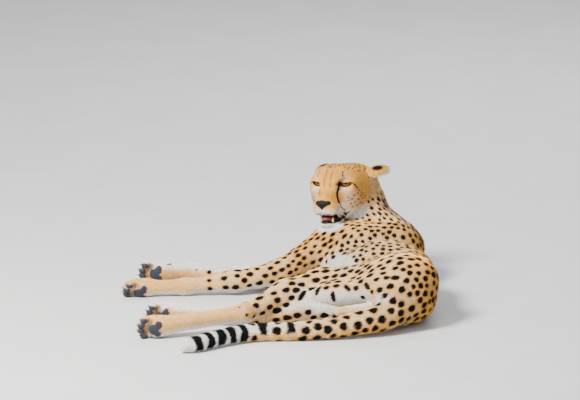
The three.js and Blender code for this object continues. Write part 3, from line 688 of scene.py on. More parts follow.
CHUNK = 200000  # points worked out at a time
COARSE = 4  # steps of the fine grid in one of the coarse grid
GRID_BAND = 30.0  # the field is worked out in full where it is below this
SLOPE_STEP = 0.25


def in_chunks(field, p):
    return np.concatenate([field(p[i:i + CHUNK]) for i in range(0, len(p), CHUNK)])


def spaced(low, high, step, fine_low, fine_high, fine):
    """Grid stations from low to high: `fine` apart between fine_low and fine_high, else `step`."""
    parts = []
    for a, b, gap in ((low, fine_low, step), (fine_low, fine_high, fine), (fine_high, high, step)):
        if b > a:
            parts.append(np.linspace(a, b, max(2, int(round((b - a) / gap)) + 1)))
    return np.unique(np.round(np.concatenate(parts), 4))


def grid_values(field, xs, ys, zs):
    """The field on the grid. Only where a coarser grid comes near the surface is it worked out."""
    shape = (len(xs), len(ys), len(zs))
    stations = [np.unique(np.append(np.arange(0, n, COARSE), n - 1)) for n in shape]
    rough = np.stack(np.meshgrid(xs[stations[0]], ys[stations[1]], zs[stations[2]], indexing="ij"), -1)
    values = in_chunks(field, rough.reshape(-1, 3)).reshape(rough.shape[:3])
    for axis, (n, at) in enumerate(zip(shape, stations)):
        nearest = np.abs(np.arange(n)[:, None] - at[None, :]).argmin(axis=1)
        values = np.take(values, nearest, axis=axis)
    values = values.copy()
    close = np.nonzero(np.abs(values) < GRID_BAND)
    points = np.stack([xs[close[0]], ys[close[1]], zs[close[2]]], axis=1)
    values[close] = in_chunks(field, points)
    return values


def surface_nets(values, stations):
    """Corners and triangles of the zero surface, one corner in each cell that it crosses."""
    inside = values < 0
    low, high = slice(None, -1), slice(1, None)
    corners = [(a, b, c) for a in (0, 1) for b in (0, 1) for c in (0, 1)]
    count = sum(
        inside[tuple(high if on else low for on in corner)].astype(np.int8) for corner in corners
    )
    cells = np.argwhere((count > 0) & (count < 8))
    held = {corner: values[tuple((cells + corner).T)] for corner in corners}
    middle = np.zeros((len(cells), 3))
    crossings = np.zeros(len(cells))
    for corner in corners:
        for axis in range(3):
            if corner[axis]:
                continue
            other = tuple(1 if n == axis else v for n, v in enumerate(corner))
            a, b = held[corner], held[other]
            cross = (a < 0) != (b < 0)
            t = np.where(cross, a / np.where(cross, a - b, 1), 0)
            place = np.tile(vec(corner), (len(cells), 1))
            place[:, axis] = t
            middle += place * cross[:, None]
            crossings += cross
    middle /= crossings[:, None]
    points = np.stack([
        station[cell] + (station[cell + 1] - station[cell]) * m
        for station, cell, m in zip(stations, cells.T, middle.T)
    ], axis=1)
    index = np.full(count.shape, -1, dtype=np.int64)
    index[tuple(cells.T)] = np.arange(len(cells))
    quads = []
    for axis in range(3):
        b, c = (axis + 1) % 3, (axis + 2) % 3
        start = [slice(None)] * 3
        start[axis] = low
        end = list(start)
        end[axis] = high
        change = inside[tuple(start)] != inside[tuple(end)]
        at = np.argwhere(change)
        at = at[(at[:, b] > 0) & (at[:, c] > 0)]
        at = at[(at[:, b] < values.shape[b] - 1) & (at[:, c] < values.shape[c] - 1)]
        step_b, step_c = np.eye(3, dtype=int)[b], np.eye(3, dtype=int)[c]
        ring = [at - step_b - step_c, at - step_c, at, at - step_b]
        quad = np.stack([index[tuple(r.T)] for r in ring], axis=1)
        flip = ~inside[tuple(at.T)]
        quad[flip] = quad[flip][:, ::-1]
        quads.append(quad)
    quads = np.concatenate(quads)
    p = points[quads]
    first = length(p[:, 0] - p[:, 2]) < length(p[:, 1] - p[:, 3])
    one = quads[first][:, [0, 1, 2, 0, 2, 3]]
    two = quads[~first][:, [0, 1, 3, 1, 2, 3]]
    return points, np.concatenate([one, two]).reshape(-1, 3)


def slope_of(field, p):
    """The field's value and its slope, by central differences."""
    slope = np.empty_like(p)
    for axis in range(3):
        step = np.zeros(3)
        step[axis] = SLOPE_STEP
        slope[:, axis] = (in_chunks(field, p + step) - in_chunks(field, p - step)) / (2 * SLOPE_STEP)
    return in_chunks(field, p), slope


def settle(field, p, steps=2, longest=1.5):
    """Moves points onto the surface."""
    for _ in range(steps):
        d, slope = slope_of(field, p)
        move = slope * (-d / np.maximum((slope * slope).sum(axis=1), 0.05))[:, None]
        size = length(move)
        p = p + move * np.minimum(1, longest / np.maximum(size, 1e-9))[:, None]
    return p


def edges_of(triangles):
    """The edges of a mesh, and for each triangle the number of its three."""
    ends = np.sort(triangles[:, [0, 1, 1, 2, 2, 0]].reshape(-1, 2), axis=1)
    key = ends[:, 0].astype(np.int64) * (triangles.max() + 1) + ends[:, 1]
    _, first, number = np.unique(key, return_index=True, return_inverse=True)
    return ends[first], number.reshape(-1, 3)


def relax(field, p, triangles, rounds):
    """Evens the triangles out by moving each corner halfway to its neighbours along the surface."""
    ends, _ = edges_of(triangles)
    count = np.bincount(ends.ravel(), minlength=len(p))
    for _ in range(rounds):
        total = np.stack([
            np.bincount(ends[:, 0], weights=p[ends[:, 1], n], minlength=len(p))
            + np.bincount(ends[:, 1], weights=p[ends[:, 0], n], minlength=len(p))
            for n in range(3)
        ], axis=1)
        p = settle(field, p + 0.5 * (total / count[:, None] - p), steps=1)
    return p


def refine(field, p, triangles, target):
    """Splits every edge that is longer than the target at its middle."""
    ends, number = edges_of(triangles)
    middle = (p[ends[:, 0]] + p[ends[:, 1]]) / 2
    long = length(p[ends[:, 0]] - p[ends[:, 1]]) > target(middle)
    new = np.full(len(ends), -1, dtype=np.int64)
    new[long] = len(p) + np.arange(long.sum())
    p = np.vstack([p, settle(field, middle[long], steps=2)])
    cut = long[number]
    sides = cut.sum(axis=1)
    made = [triangles[sides == 0]]
    for many in (1, 2, 3):
        some = sides == many
        corner, cuts, mids = triangles[some], cut[some], new[number[some]]
        if many == 1:
            turn = cuts.argmax(axis=1)
        elif many == 2:
            turn = ((~cuts).argmax(axis=1) + 1) % 3
        else:
            turn = np.zeros(len(corner), dtype=int)
        order = (turn[:, None] + np.arange(3)) % 3
        a, b, c = np.take_along_axis(corner, order, axis=1).T
        ab, bc, ca = np.take_along_axis(mids, order, axis=1).T
        if many == 1:
            parts = [(a, ab, c), (ab, b, c)]
        elif many == 2:
            parts = [(ab, b, bc), (a, ab, bc), (a, bc, c)]
        else:
            parts = [(a, ab, ca), (ab, b, bc), (ca, bc, c), (ab, bc, ca)]
        made += [np.stack(part, axis=1) for part in parts]
    return p, np.concatenate(made)


def normals_of(p, triangles):
    """A normal at each corner, from the triangles round it."""
    a, b, c = (p[triangles[:, n]] for n in range(3))
    face = np.cross(b - a, c - a)
    total = np.zeros_like(p)
    for corner in triangles.T:
        for n in range(3):
            total[:, n] += np.bincount(corner, weights=face[:, n], minlength=len(p))
    return unit(total)


# ---- markings -----------------------------------------------------------------------------------

HEAD_PALE = [  # shape in the head, strength, softness of its edge
    (egg((52, 0, -63), (28, 34, 15)), 0.9, 5),  # upper lips
    (egg((26, 0, -106), (60, 44, 20)), 1, 5),  # chin and jaw
    *twice((10, 36, -12), (15, 18, 6), 0.6, 6),  # below the eyes
    *twice((0, 36, 18), (14, 15, 7), 0.4, 8),  # above the eyes
    *twice((30, 30, -68), (24, 14, 14), 0.85, 7),  # beside the mouth
    *twice((-86, 62, -22), (18, 24, 24), 0.55, 18),  # under the ears
    *twice((0, 50, -40), (24, 20, 24), 0.42, 16),  # cheeks
    *twice((-34, 50, -82), (50, 34, 22), 1, 10),  # ruff
]
BODY_PALE = [  # shape, strength, softness of its edge
    (rod((-160, -280, 56), (-20, -338, 70), 34, 30), 0.9, 14),  # back of the left thigh
    (egg((37, -368, 80), (26, 26, 24)), 1, 14),  # under the root of the tail
    (rod((-110, -150, 30), (-96, 60, 30), 58, 60), 1, 26),  # belly
    (rod((-60, -120, 110), (-92, 20, 96), 34, 40), 1, 20),  # upper flank next to the thigh
]
# The nape's mane: dark grey in its own colour, painted darker still as painted shade.
NAPE_MANE_AND_SHADE = rod((122, 228, 104), (44, 252, 200), 24, 20)  # crest of the nape
FACE_LINES = [  # half-width, then points on the left side of the face
    (3.9, [(-10, 20, 0), (4, 22, -3), (14, 24, -8), (21, 25, -13), (25, 25, -20), (28, 27, -30),
           (28, 30, -41), (24, 33, -50), (20, 35, -60), (13, 39, -70)]),  # tear line
    (2.3, [(8, 36, 21), (3, 34.5, 27), (-2, 33, 34)]),  # brow
    (2.5, [(-6, 54, 3), (-6, 59, 3), (-8, 64, -4), (-13, 68, -13)]),  # from the eye's outer corner
]
# Painted shade along the furrows of the forehead: points on the left side of the face.
FURROW_SHADE = [(30, 8, -2), (14, 8, 27), (-6, 11, 38), (-30, 15, 42)]
LIP_LINE = [(-6, 46, -69), (3, 43, -76), (10, 37, -84), (24, 29, -90), (42, 18, -93), (56, 0, -93)]
LIP_HALF = (0.8, 3.2, 5.4, 5.8, 5.0, 4.6)  # the lower lip's half-width at each of its points
FACE_DOTS = [(-18, 71, -19), (-25, 74, -27), (-31, 76, -34), (-41, 77, -40), (-62, 78, -46)]
TAIL_BANDS = (  # from the tip, half-width, how far down the sides
    (50, 12, -0.95), (89, 13, -0.95), (129, 13.5, -0.95), (168, 13, -0.95), (206, 12, -0.95),
    (267, 13, -0.3), (340, 12, -0.2),
)
TAIL_END_REACH = 20
TAIL_RINGED = 206  # how far from the tip the tail has rings and no spots
BAND_CLEAR = 14.5  # least distance from a band of the tail to the middle of a spot
STREAK_CLEAR = 12  # least distance from a streak to the middle of a spot


def on_face(points, s):
    """A line on one side of the face, laid down on the head's surface."""
    return in_head(settle(HEAD_PLAIN, head_point(mirrored(points, s)), steps=6, longest=4))


def path_distance(p, points, radii=None):
    """How far each point is from a line of points, which may have a radius at each of them."""
    radii = radii or [0] * len(points)
    steps = zip(points[:-1], points[1:], radii[:-1], radii[1:])
    return np.min([rod(*ends)(p) for ends in steps], axis=0)


def tail_place(p):
    """How far each point is from the tail's tip, along the tail."""
    line = spline(TAIL_PATH, np.linspace(0, 1, 160))
    along = np.concatenate([[0], np.cumsum(length(np.diff(line, axis=0)))])
    left = along[-1] - along + TAIL_END_REACH
    nearest = np.stack([length(p - q) for q in line], axis=1).argmin(axis=1)
    ahead = unit(np.gradient(line, axis=0))[nearest]
    return left[nearest] - ((p - line[nearest]) * ahead).sum(axis=1)


def pads(p, normals):
    """1 on the bare pads under each paw."""
    bare = np.zeros(len(p))
    for paw in PAWS.values():
        under = smooth(0.25, -0.05, normals @ paw["axes"][2])
        bare = np.maximum(bare, smooth(0.7, -0.5, pad_outline(p, paw)) * under)
    return bare


def shade_between_pads(p, normals):
    """1 between the pads under a paw: painted shade on the hair there."""
    dark = np.zeros(len(p))
    for paw in PAWS.values():
        q = (p - paw["origin"]) @ paw["axes"].T / PAW_SIZE
        under = smooth(0.1, -0.4, normals @ paw["axes"][2])
        dark = np.maximum(dark, under * smooth(4, -4, egg((38, 0, -14), (27, 31, 15))(q)))
    return dark


def pale_mask(p, normals, share, q, near_head):
    pale = most(*(
        strength * smooth(soft, -soft, shape(places)) * within
        for zones, places, within in ((HEAD_PALE, q, near_head), (BODY_PALE, p, 1 - near_head))
        for shape, strength, soft in zones
    ))
    right = share_right(share)
    up = normals[:, 2]
    inner = smooth(0.1, 0.75, up) * right + smooth(-0.1, -0.75, up) * (1 - right)
    inner = 0.95 * inner * share_in(share, "forearm", "foot", "paw", "shank")
    return most(pale, inner, ear_inside(p, normals))


def tail_masks(p, normals):
    """Pale and black along the tail: white above and all round near the tip, with bands."""
    from_tip = tail_place(p)
    up = normals[:, 2]
    pale = most(smooth(420, 240, from_tip) * smooth(-0.1, 0.5, up), smooth(260, 150, from_tip))
    black = np.zeros(len(p))
    for middle, half, under in TAIL_BANDS:
        wobble = 3 * np.sin(0.13 * p[:, 2] + 0.09 * p[:, 0] + middle)
        edge = np.abs(from_tip + wobble - middle)
        black = np.maximum(black, smooth(half + 1.5, half - 1.5, edge) * smooth(under, under + 0.35, up))
    return pale, black


def off_bands(p):
    """How far each point of the tail is from its nearest black band."""
    from_tip = tail_place(p)
    away = np.min([np.abs(from_tip - middle) - half for middle, half, _ in TAIL_BANDS], axis=0)
    return np.where(from_tip > TAIL_RINGED, away, 0)


def near_eye(q, s):
    return smooth(EYE_RADIUS + 9, EYE_RADIUS + 6, length(q - eye_centre(s)))


def face_lines(p, normals, q, near_head):
    """The tear lines, brow strokes, lid rims, lips and the dark backs of the ears."""
    dark = np.zeros(len(p))
    close = near_head > 0
    near = q[close]
    lines = np.zeros(len(near))
    for s in (1, -1):
        for half, points in FACE_LINES:
            away = path_distance(near, on_face(points, s))
            lines = np.maximum(lines, smooth(half + 0.9, half - 0.7, away))
        for point in on_face(FACE_DOTS, s):
            lines = np.maximum(lines, smooth(3.6, 2.2, length(near - point)))
        lip = path_distance(near, on_face(LIP_LINE, s), LIP_HALF)
        rim = smooth(4.2, 2.8, np.abs(eye_opening(s)(near)))
        lines = most(lines, smooth(1.0, 0, lip), rim * near_eye(near, s))
    lines = most(lines, smooth(1.6, 0.6, MOUTH_FIELD(p[close])), smooth(2.4, 1.0, NOSE_PAD(near)))
    dark[close] = lines * near_head[close]
    for ear, field in zip(EARS.values(), EAR_FIELDS):
        turn = ear_turn(ear)
        local = (q - vec(ear["base"])) @ turn.T - vec(27, ear["patch"], 0)
        ragged = 1.5 * np.sin(0.9 * local[:, 0]) * np.sin(1.1 * local[:, 1])
        patch = smooth(15, 9, length(local[:, :2] * vec(0.8, 1)) + ragged)
        back = smooth(0, 0.4, normals @ (turn[2] @ HEAD_AXES))
        dark = np.maximum(dark, smooth(4, 0, field(p)) * back * patch)
    return dark


def bare_mask(p, normals, q, near_head):
    """Skin without hair: pads, lips, lid rims and the seat of the nose."""
    bare = np.maximum(smooth(2.2, 0.6, MOUTH_FIELD(p)) * near_head, pads(p, normals))
    for s in (1, -1):
        lip = path_distance(q, on_face(LIP_LINE, s), LIP_HALF)
        lids = smooth(1.4, 0.7, eye_opening(s)(q)) * near_eye(q, s)
        bare = most(bare, smooth(0.3, -0.6, lip), lids)
    return most(bare, smooth(1.8, 0.6, NOSE_PAD(q)))


def masks_at(p, normals, share):
    """The markings at each point, apart from the spots."""
    q = in_head(p)
    near_head = smooth(30, 10, HEAD_PLAIN(p))
    dark = face_lines(p, normals, q, near_head)
    pale = pale_mask(p, normals, share, q, near_head)
    tail = share_in(share, "tail")
    on_tail = tail > 0.02
    if on_tail.any():
        white, bands = tail_masks(p[on_tail], normals[on_tail])
        pale[on_tail] = np.maximum(pale[on_tail], white * tail[on_tail])
        dark[on_tail] = np.maximum(dark[on_tail], bands * tail[on_tail])
    # Painted shade along the furrows of the forehead.
    frown = most(*(smooth(5.0, 0.5, path_distance(q, on_face(FURROW_SHADE, s))) for s in (1, -1)))
    # The dark grey mask: the nape's mane (its own colour deepened by painted shade), painted shade along the
    # forehead furrows and painted shade on the hair between the pads.
    smoke_and_shade = most(0.85 * smooth(20, -14, NAPE_MANE_AND_SHADE(p)), 0.6 * frown * near_head, 0.8 * shade_between_pads(p, normals))
    return {
        "pale": pale,
        "dark": dark,
        "smoke_and_shade": smoke_and_shade,
        "bare": bare_mask(p, normals, q, near_head),
        "gum": smooth(-1, -4, MOUTH_FIELD(p)) * near_head,
    }


MARKINGS = ("pale", "spot", "dark", "smoke_and_shade", "warm_and_shade")  # what the colours of skin and coat are read from
STREAKS = [  # on the pale back of the left thigh: its two ends and its half-width
    ((-172, -273, 89), (-190, -295, 65), 6.6),
    ((-128, -266, 98), (-143, -288, 77), 6),
    ((-100, -297, 90), (-94, -296, 62), 7),
    ((-69, -297, 106), (-53, -317, 95), 6),
    ((-15, -330, 119), (-5, -347, 108), 7),
    ((-56, -291, 115), (-46, -291, 115), 4.2),
    ((5, -356, 105), (2, -352, 98), 6),
    ((-24, -336, 84), (-14, -336, 86), 5.2),
]
SPREAD_CELL = 32.0  # side of the cubes in which neighbouring spots are looked for
VALUE_CELL = 34.0  # side of the cubes in which a spot colours the points
CELL_ROW = 128  # cubes in a row, when they are numbered
CELL_START = 64  # the number of the cube at the origin


def spread_spots(p, normals, lie, style, rng):
    """Seeded centres of spots on the skin, no nearer to each other than the style says."""
    taken = {}
    kept = []
    open_to_spots = np.nonzero(style["spot"] > 1.0)[0]
    keys = (p // SPREAD_CELL).astype(int)
    steps = [(a, b, c) for a in (-1, 0, 1) for b in (-1, 0, 1) for c in (-1, 0, 1)]
    for i in rng.permutation(open_to_spots):
        x, y, z = keys[i]
        near = [j for a, b, c in steps for j in taken.get((x + a, y + b, z + c), ())]
        if near:
            gap = p[near] - p[i]
            squeezed = np.sqrt(np.maximum((gap * gap).sum(axis=1) - 0.35 * (gap @ lie[i]) ** 2, 0))
            facing = normals[near] @ normals[i] > -0.2
            if (squeezed[facing] < style["apart"][i]).any():
                continue
        taken.setdefault((x, y, z), []).append(i)
        kept.append(i)
    return np.array(kept)


def spots_on(p, triangles, seed):
    """The animal's spots, each with its place, size, direction and own uneven outline."""
    rng = np.random.default_rng(seed)
    normals = normals_of(p, triangles)
    share = regions(p)
    lie = lie_of(p, share, normals)
    style = style_at(p, share, normals)
    masks = masks_at(p, normals, share)
    style["spot"] = style["spot"] * (1 - masks["bare"])
    on_tail = share_in(share, "tail") > 0.5
    if on_tail.any():
        style["spot"][on_tail] *= off_bands(p[on_tail]) > BAND_CLEAR
    for start, end, half in STREAKS:
        style["spot"][rod(start, end, half, half)(p) < STREAK_CLEAR] = 0
    style["spot"][(masks["pale"] > 0.6) & (share_in(share, "tail") < 0.5)] = 0
    rows = []
    for i in spread_spots(p, normals, lie, style, rng):
        rows.append(dict(
            at=p[i], normal=normals[i], lie=lie[i], half=style["spot"][i] * rng.uniform(0.82, 1.12),
            drawn=style["drawn"][i] * rng.uniform(0.88, 1.12), wave=rng.uniform(0.02, 0.09),
            phase=rng.uniform(0, 6.3),
        ))
    for start, end, half in STREAKS:
        middle, way = mix(start, end, 0.5), vec(end) - vec(start)
        nearest = length(p - middle).argmin()
        rows.append(dict(
            at=p[nearest], normal=normals[nearest], lie=unit(way), half=half,
            drawn=max(1, 0.5 * length(way) / half + 0.3), wave=0.06, phase=half,
        ))
    return rows


def cell_number(p):
    x, y, z = (p // VALUE_CELL).astype(np.int64).T + CELL_START
    return (x * CELL_ROW + y) * CELL_ROW + z


def spot_value(p, normals, spots):
    """How far inside the nearest spot's edge each point is, in mm. Outside it is negative."""
    value = np.full(len(p), -30.0)
    numbers = cell_number(p)
    order = np.argsort(numbers, kind="stable")
    ranked = numbers[order]
    steps = [(a * CELL_ROW + b) * CELL_ROW for a in (-1, 0, 1) for b in (-1, 0, 1)]
    for spot in spots:
        home = cell_number(spot["at"])
        starts = np.searchsorted(ranked, [home + s - 1 for s in steps])
        ends = np.searchsorted(ranked, [home + s + 1 for s in steps], side="right")
        rows = np.concatenate([order[a:b] for a, b in zip(starts, ends)])
        away = p[rows] - spot["at"]
        a = away @ spot["lie"] / spot["drawn"]
        b = away @ np.cross(spot["normal"], spot["lie"])
        c = away @ spot["normal"] * 0.8
        wave = 1 + spot["wave"] * np.sin(3 * np.arctan2(b, a) + spot["phase"])
        d = spot["half"] * wave - np.sqrt(a * a + b * b + c * c)
        d = np.where(d < 0, d * max(1, 6 / spot["half"]) ** 1.5, d)  # a small dot has a small halo
        d[normals[rows] @ spot["normal"] < 0.1] = -30
        value[rows] = np.maximum(value[rows], d)
    return value


# ---- building meshes ----------------------------------------------------------------------------


def mesh_object(name, points, triangles, smooth_faces=True):
    """A mesh of triangles in a new object at the origin. The points are in mm."""
    mesh = bpy.data.meshes.new(name)
    mesh.vertices.add(len(points))
    mesh.vertices.foreach_set("co", (np.asarray(points) * MM).astype(np.float32).ravel())
    mesh.loops.add(triangles.size)
    mesh.loops.foreach_set("vertex_index", triangles.astype(np.int32).ravel())
    mesh.polygons.add(len(triangles))
    mesh.polygons.foreach_set("loop_start", np.arange(0, triangles.size, 3, dtype=np.int32))
    mesh.polygons.foreach_set("use_smooth", np.full(len(triangles), smooth_faces))
    mesh.update(calc_edges=True)
    thing = bpy.data.objects.new(name, mesh)
    bpy.context.scene.collection.objects.link(thing)
    return thing


def set_attribute(thing, name, values):
    wide = np.ndim(values) == 2
    layer = thing.data.attributes.new(name, "FLOAT_VECTOR" if wide else "FLOAT", "POINT")
    layer.data.foreach_set("vector" if wide else "value", np.asarray(values, np.float32).ravel())


def triangles_of(thing):
    """A piece's corners in mm and its triangles."""
    mesh = thing.data
    points = np.empty(len(mesh.vertices) * 3, np.float32)
    mesh.vertices.foreach_get("co", points)
    corners = np.empty(len(mesh.loops), np.int32)
    mesh.loops.foreach_get("vertex_index", corners)
    return points.reshape(-1, 3).astype(np.float64) / MM, corners.reshape(-1, 3)


def finish_piece(thing, material, nodes=()):
    thing.data.materials.clear()
    thing.data.materials.append(material)
    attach(thing, "root")
    if nodes:
        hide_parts(*nodes)


def field_mesh(name, field, low, high, step):
    """A piece from the zero surface of a field inside a box. All in the head's own axes."""
    stations = [np.arange(a, b + step, step) for a, b in zip(low, high)]
    grid = np.stack(np.meshgrid(*stations, indexing="ij"), -1)
    values = in_chunks(field, grid.reshape(-1, 3)).reshape(grid.shape[:3])
    points, triangles = surface_nets(values, stations)
    points = settle(field, points, steps=2, longest=step / 2)
    points = relax(field, points, triangles, rounds=2)
    return mesh_object(name, head_point(points), triangles)


def join_parts(parts):
    """Several point and triangle lists as one."""
    starts = np.cumsum([0, *(len(points) for points, _ in parts)])
    triangles = [made + start for (_, made), start in zip(parts, starts)]
    return np.concatenate([points for points, _ in parts]), np.concatenate(triangles)


def horn(line, radii, sides=10):
    """A closed tapered tube along a line of points, which ends in a point."""
    line, radii = vec(line), vec(radii)
    ahead = unit(np.gradient(line, axis=0))
    side = unit(np.cross(ahead, [0.3, 0.5, 0.81]))
    up = np.cross(ahead, side)
    turn = 2 * np.pi * np.arange(sides) / sides
    rings = [
        c + r * (np.cos(turn)[:, None] * a + np.sin(turn)[:, None] * b)
        for c, r, a, b in zip(line[:-1], radii, side, up)
    ]
    points = np.concatenate([*rings, line[-1:], line[:1]])
    tip, foot = len(points) - 2, len(points) - 1
    k = np.arange(sides)
    after = (k + 1) % sides
    faces = []
    for ring in range(len(rings) - 1):
        a, b = ring * sides + k, ring * sides + after
        faces += [np.stack([a, b, a + sides], 1), np.stack([b, b + sides, a + sides], 1)]
    last = (len(rings) - 1) * sides
    faces.append(np.stack([last + k, last + after, np.full(sides, tip)], 1))
    faces.append(np.stack([after, k, np.full(sides, foot)], 1))
    return points, np.concatenate(faces)


# ---- shader tools -------------------------------------------------------------------------------


def feed(tree, made, inputs):
    """Links or sets each input of a node."""
    for key, value in inputs.items():
        if isinstance(value, bpy.types.NodeSocket):
            tree.links.new(value, made.inputs[key])
        else:
            made.inputs[key].default_value = value


def node(tree, kind, inputs=None, **settings):
    made = tree.nodes.new(kind)
    for key, value in settings.items():
        setattr(made, key, value)
    feed(tree, made, inputs or {})
    return made


def rgba(colour):
    """A colour as a node takes it, or the socket that gives one."""
    return colour if isinstance(colour, bpy.types.NodeSocket) else (*colour, 1)


def blended(tree, factor, a, b, mode="MIX"):
    inputs = {0: factor, 6: rgba(a), 7: rgba(b)}
    return node(tree, "ShaderNodeMix", inputs, data_type="RGBA", blend_type=mode).outputs[2]


def shaded(tree, colour, shade):
    """A colour made lighter or darker by a value."""
    grey = node(tree, "ShaderNodeCombineColor", {0: shade, 1: shade, 2: shade}).outputs[0]
    return blended(tree, 1.0, colour, grey, "MULTIPLY")


def ranged(tree, value, low, high, to_low=0.0, to_high=1.0):
    inputs = {0: value, 1: low, 2: high, 3: to_low, 4: to_high}
    return node(tree, "ShaderNodeMapRange", inputs, interpolation_type="SMOOTHSTEP").outputs[0]


def sums(tree, operation, a, b):
    return node(tree, "ShaderNodeMath", {0: a, 1: b}, operation=operation).outputs[0]


def plus(tree, a, b):
    return sums(tree, "ADD", a, b)


def times(tree, a, b):
    return sums(tree, "MULTIPLY", a, b)


def attribute(tree, name):
    return node(tree, "ShaderNodeAttribute", attribute_name=name).outputs["Fac"]


def own_place(tree):
    return node(tree, "ShaderNodeTexCoord").outputs["Object"]


def noise(tree, scale, detail=2.0, roughness=0.5):
    """Noise on the object's own coordinates. Its scale is in grains to the metre."""
    inputs = {"Vector": own_place(tree), "Scale": scale, "Detail": detail, "Roughness": roughness}
    return node(tree, "ShaderNodeTexNoise", inputs).outputs[0]


def bump(tree, height, strength, distance):
    inputs = {"Height": height, "Strength": strength, "Distance": distance}
    return node(tree, "ShaderNodeBump", inputs).outputs[0]


def markings_group(colours):
    """The colour of skin and coat: ground, tan (partly painted shade), cream parts, halos, spots, lines, and
    a dark grey for the nape's mane and for painted shade.
    """
    if "coat_markings" in bpy.data.node_groups:
        return bpy.data.node_groups["coat_markings"]
    tree = bpy.data.node_groups.new("coat_markings", "ShaderNodeTree")
    for name in ("ground", "tan", "cream", "black", "smoke_and_shade"):
        socket = tree.interface.new_socket(name.title(), in_out="INPUT", socket_type="NodeSocketColor")
        socket.default_value = rgba(getattr(colours, name))
    tree.interface.new_socket("Color", in_out="OUTPUT", socket_type="NodeSocketColor")
    given = tree.nodes.new("NodeGroupInput").outputs
    pale, spot, dark, smoke_and_shade, warm_and_shade = (attribute(tree, name) for name in MARKINGS)
    wander = noise(tree, 9.0, 3.0)
    grain = noise(tree, 420.0, 2.0)
    halo = ranged(tree, spot, -6.5, -1.0)
    # The tan share carries painted shade on the back, the rump and under the tail, besides the coat's own
    # tan.
    warmth_and_shade = plus(tree, warm_and_shade, times(tree, halo, 0.4))
    warmth_and_shade = plus(tree, warmth_and_shade, times(tree, sums(tree, "SUBTRACT", wander, 0.5), 0.9))
    warmth_and_shade = node(tree, "ShaderNodeClamp", {0: warmth_and_shade}).outputs[0]
    ground = blended(tree, warmth_and_shade, given["Ground"], given["Tan"])
    pale = times(tree, pale, sums(tree, "SUBTRACT", 1.0, times(tree, halo, 0.3)))
    ground = blended(tree, pale, ground, given["Cream"])
    # The dark grey of the mane, and of the painted shade in the furrows and between the pads.
    mane_and_shade_amount = times(tree, smoke_and_shade, ranged(tree, noise(tree, 60.0, 3.0), 0.3, 0.55))
    ground = blended(tree, mane_and_shade_amount, ground, given["Smoke_And_Shade"])
    edge = plus(tree, spot, times(tree, sums(tree, "SUBTRACT", grain, 0.5), 1.4))
    clumps = ranged(tree, noise(tree, 130.0, 4.0, 0.65), 0.3, 0.7, 0.84, 1.12)
    black = sums(tree, "MAXIMUM", ranged(tree, edge, -0.7, 0.7), dark)
    colour = blended(tree, black, shaded(tree, ground, clumps), given["Black"])
    node(tree, "NodeGroupOutput", {"Color": colour})
    return tree


def marked(tree, colours):
    return node(tree, "ShaderNodeGroup", node_tree=markings_group(colours)).outputs[0]


def new_material(name):
    """A material with an empty tree, its Principled shader and its output."""
    material = bpy.data.materials.new(name)
    material.use_nodes = True
    tree = material.node_tree
    tree.nodes.clear()
    shader = tree.nodes.new("ShaderNodeBsdfPrincipled")
    node(tree, "ShaderNodeOutputMaterial", {0: shader.outputs[0]})
    return material, tree, shader


def skin_material(colours):
    material, tree, shader = new_material("skin")
    # The skin under the coat is painted darker: painted shade beneath the hair.
    under = blended(tree, 1.0, marked(tree, colours), (0.8, 0.76, 0.72), "MULTIPLY")
    bare = attribute(tree, "bare")
    worn = ranged(tree, noise(tree, 520.0, 5.0, 0.7), 0.4, 0.7)
    leather = blended(tree, worn, colours.pad, colours.pad_worn)
    leather = blended(tree, attribute(tree, "dark"), leather, colours.lip)
    leather = blended(tree, attribute(tree, "gum"), leather, colours.gum)
    grain = plus(tree, noise(tree, 900.0, 3.0), noise(tree, 220.0, 2.0))
    feed(tree, shader, {
        "Base Color": blended(tree, bare, under, leather),
        "Roughness": ranged(tree, bare, 0.2, 0.8, 0.85, 0.5),
        "Specular IOR Level": 0.2,
        "Normal": bump(tree, grain, 0.5, 0.0008),
    })
    return material


def coat_material(colours):
    material, tree, shader = new_material("coat")
    feed(tree, shader, {
        # Each tuft's own random brightness, with painted shade at its root.
        "Base Color": shaded(tree, marked(tree, colours), attribute(tree, "tone")),
        "Roughness": 0.6,
        "Specular IOR Level": 0.15,
    })
    return material


def eye_material(colours):
    material, tree, shader = new_material("eye")
    out = attribute(tree, "off_axis")
    fibres = ranged(tree, noise(tree, 1500.0, 2.0, 0.7), 0.3, 0.7)
    colour = blended(tree, fibres, colours.iris, colours.iris_light)
    for low, high, further in (
        (5.0, 10.0, colours.iris), (9.6, 11.0, colours.black), (11.2, 12.6, colours.eye_white),
        (4.0, 3.4, colours.pupil),
    ):
        colour = blended(tree, ranged(tree, out, low, high), colour, further)
    feed(tree, shader, {
        "Base Color": colour,
        "Roughness": 0.3,
        "Specular IOR Level": 0.05,
        "Coat Weight": 0.25,
        "Coat IOR": 1.34,
        "Coat Roughness": 0.02,
    })
    return material


def leather_material(name, dark, lighter, scale, roughness, distance, specular):
    """Damp grained skin, for the nose and the tongue. `lighter` is how much paler its grain is."""
    material, tree, shader = new_material(name)
    light = [lighter * c for c in dark]
    inputs = {"Vector": own_place(tree), "Scale": scale}
    cells = node(tree, "ShaderNodeTexVoronoi", inputs).outputs["Distance"]
    colour = blended(tree, ranged(tree, noise(tree, scale / 3), 0.35, 0.65), dark, light)
    feed(tree, shader, {
        "Base Color": blended(tree, ranged(tree, cells, 0.1, 0.5), colour, light),
        "Roughness": ranged(tree, noise(tree, scale / 2), 0.3, 0.7, roughness, roughness + 0.2),
        "Specular IOR Level": specular,
        "Normal": bump(tree, cells, 0.6, distance),
    })
    return material


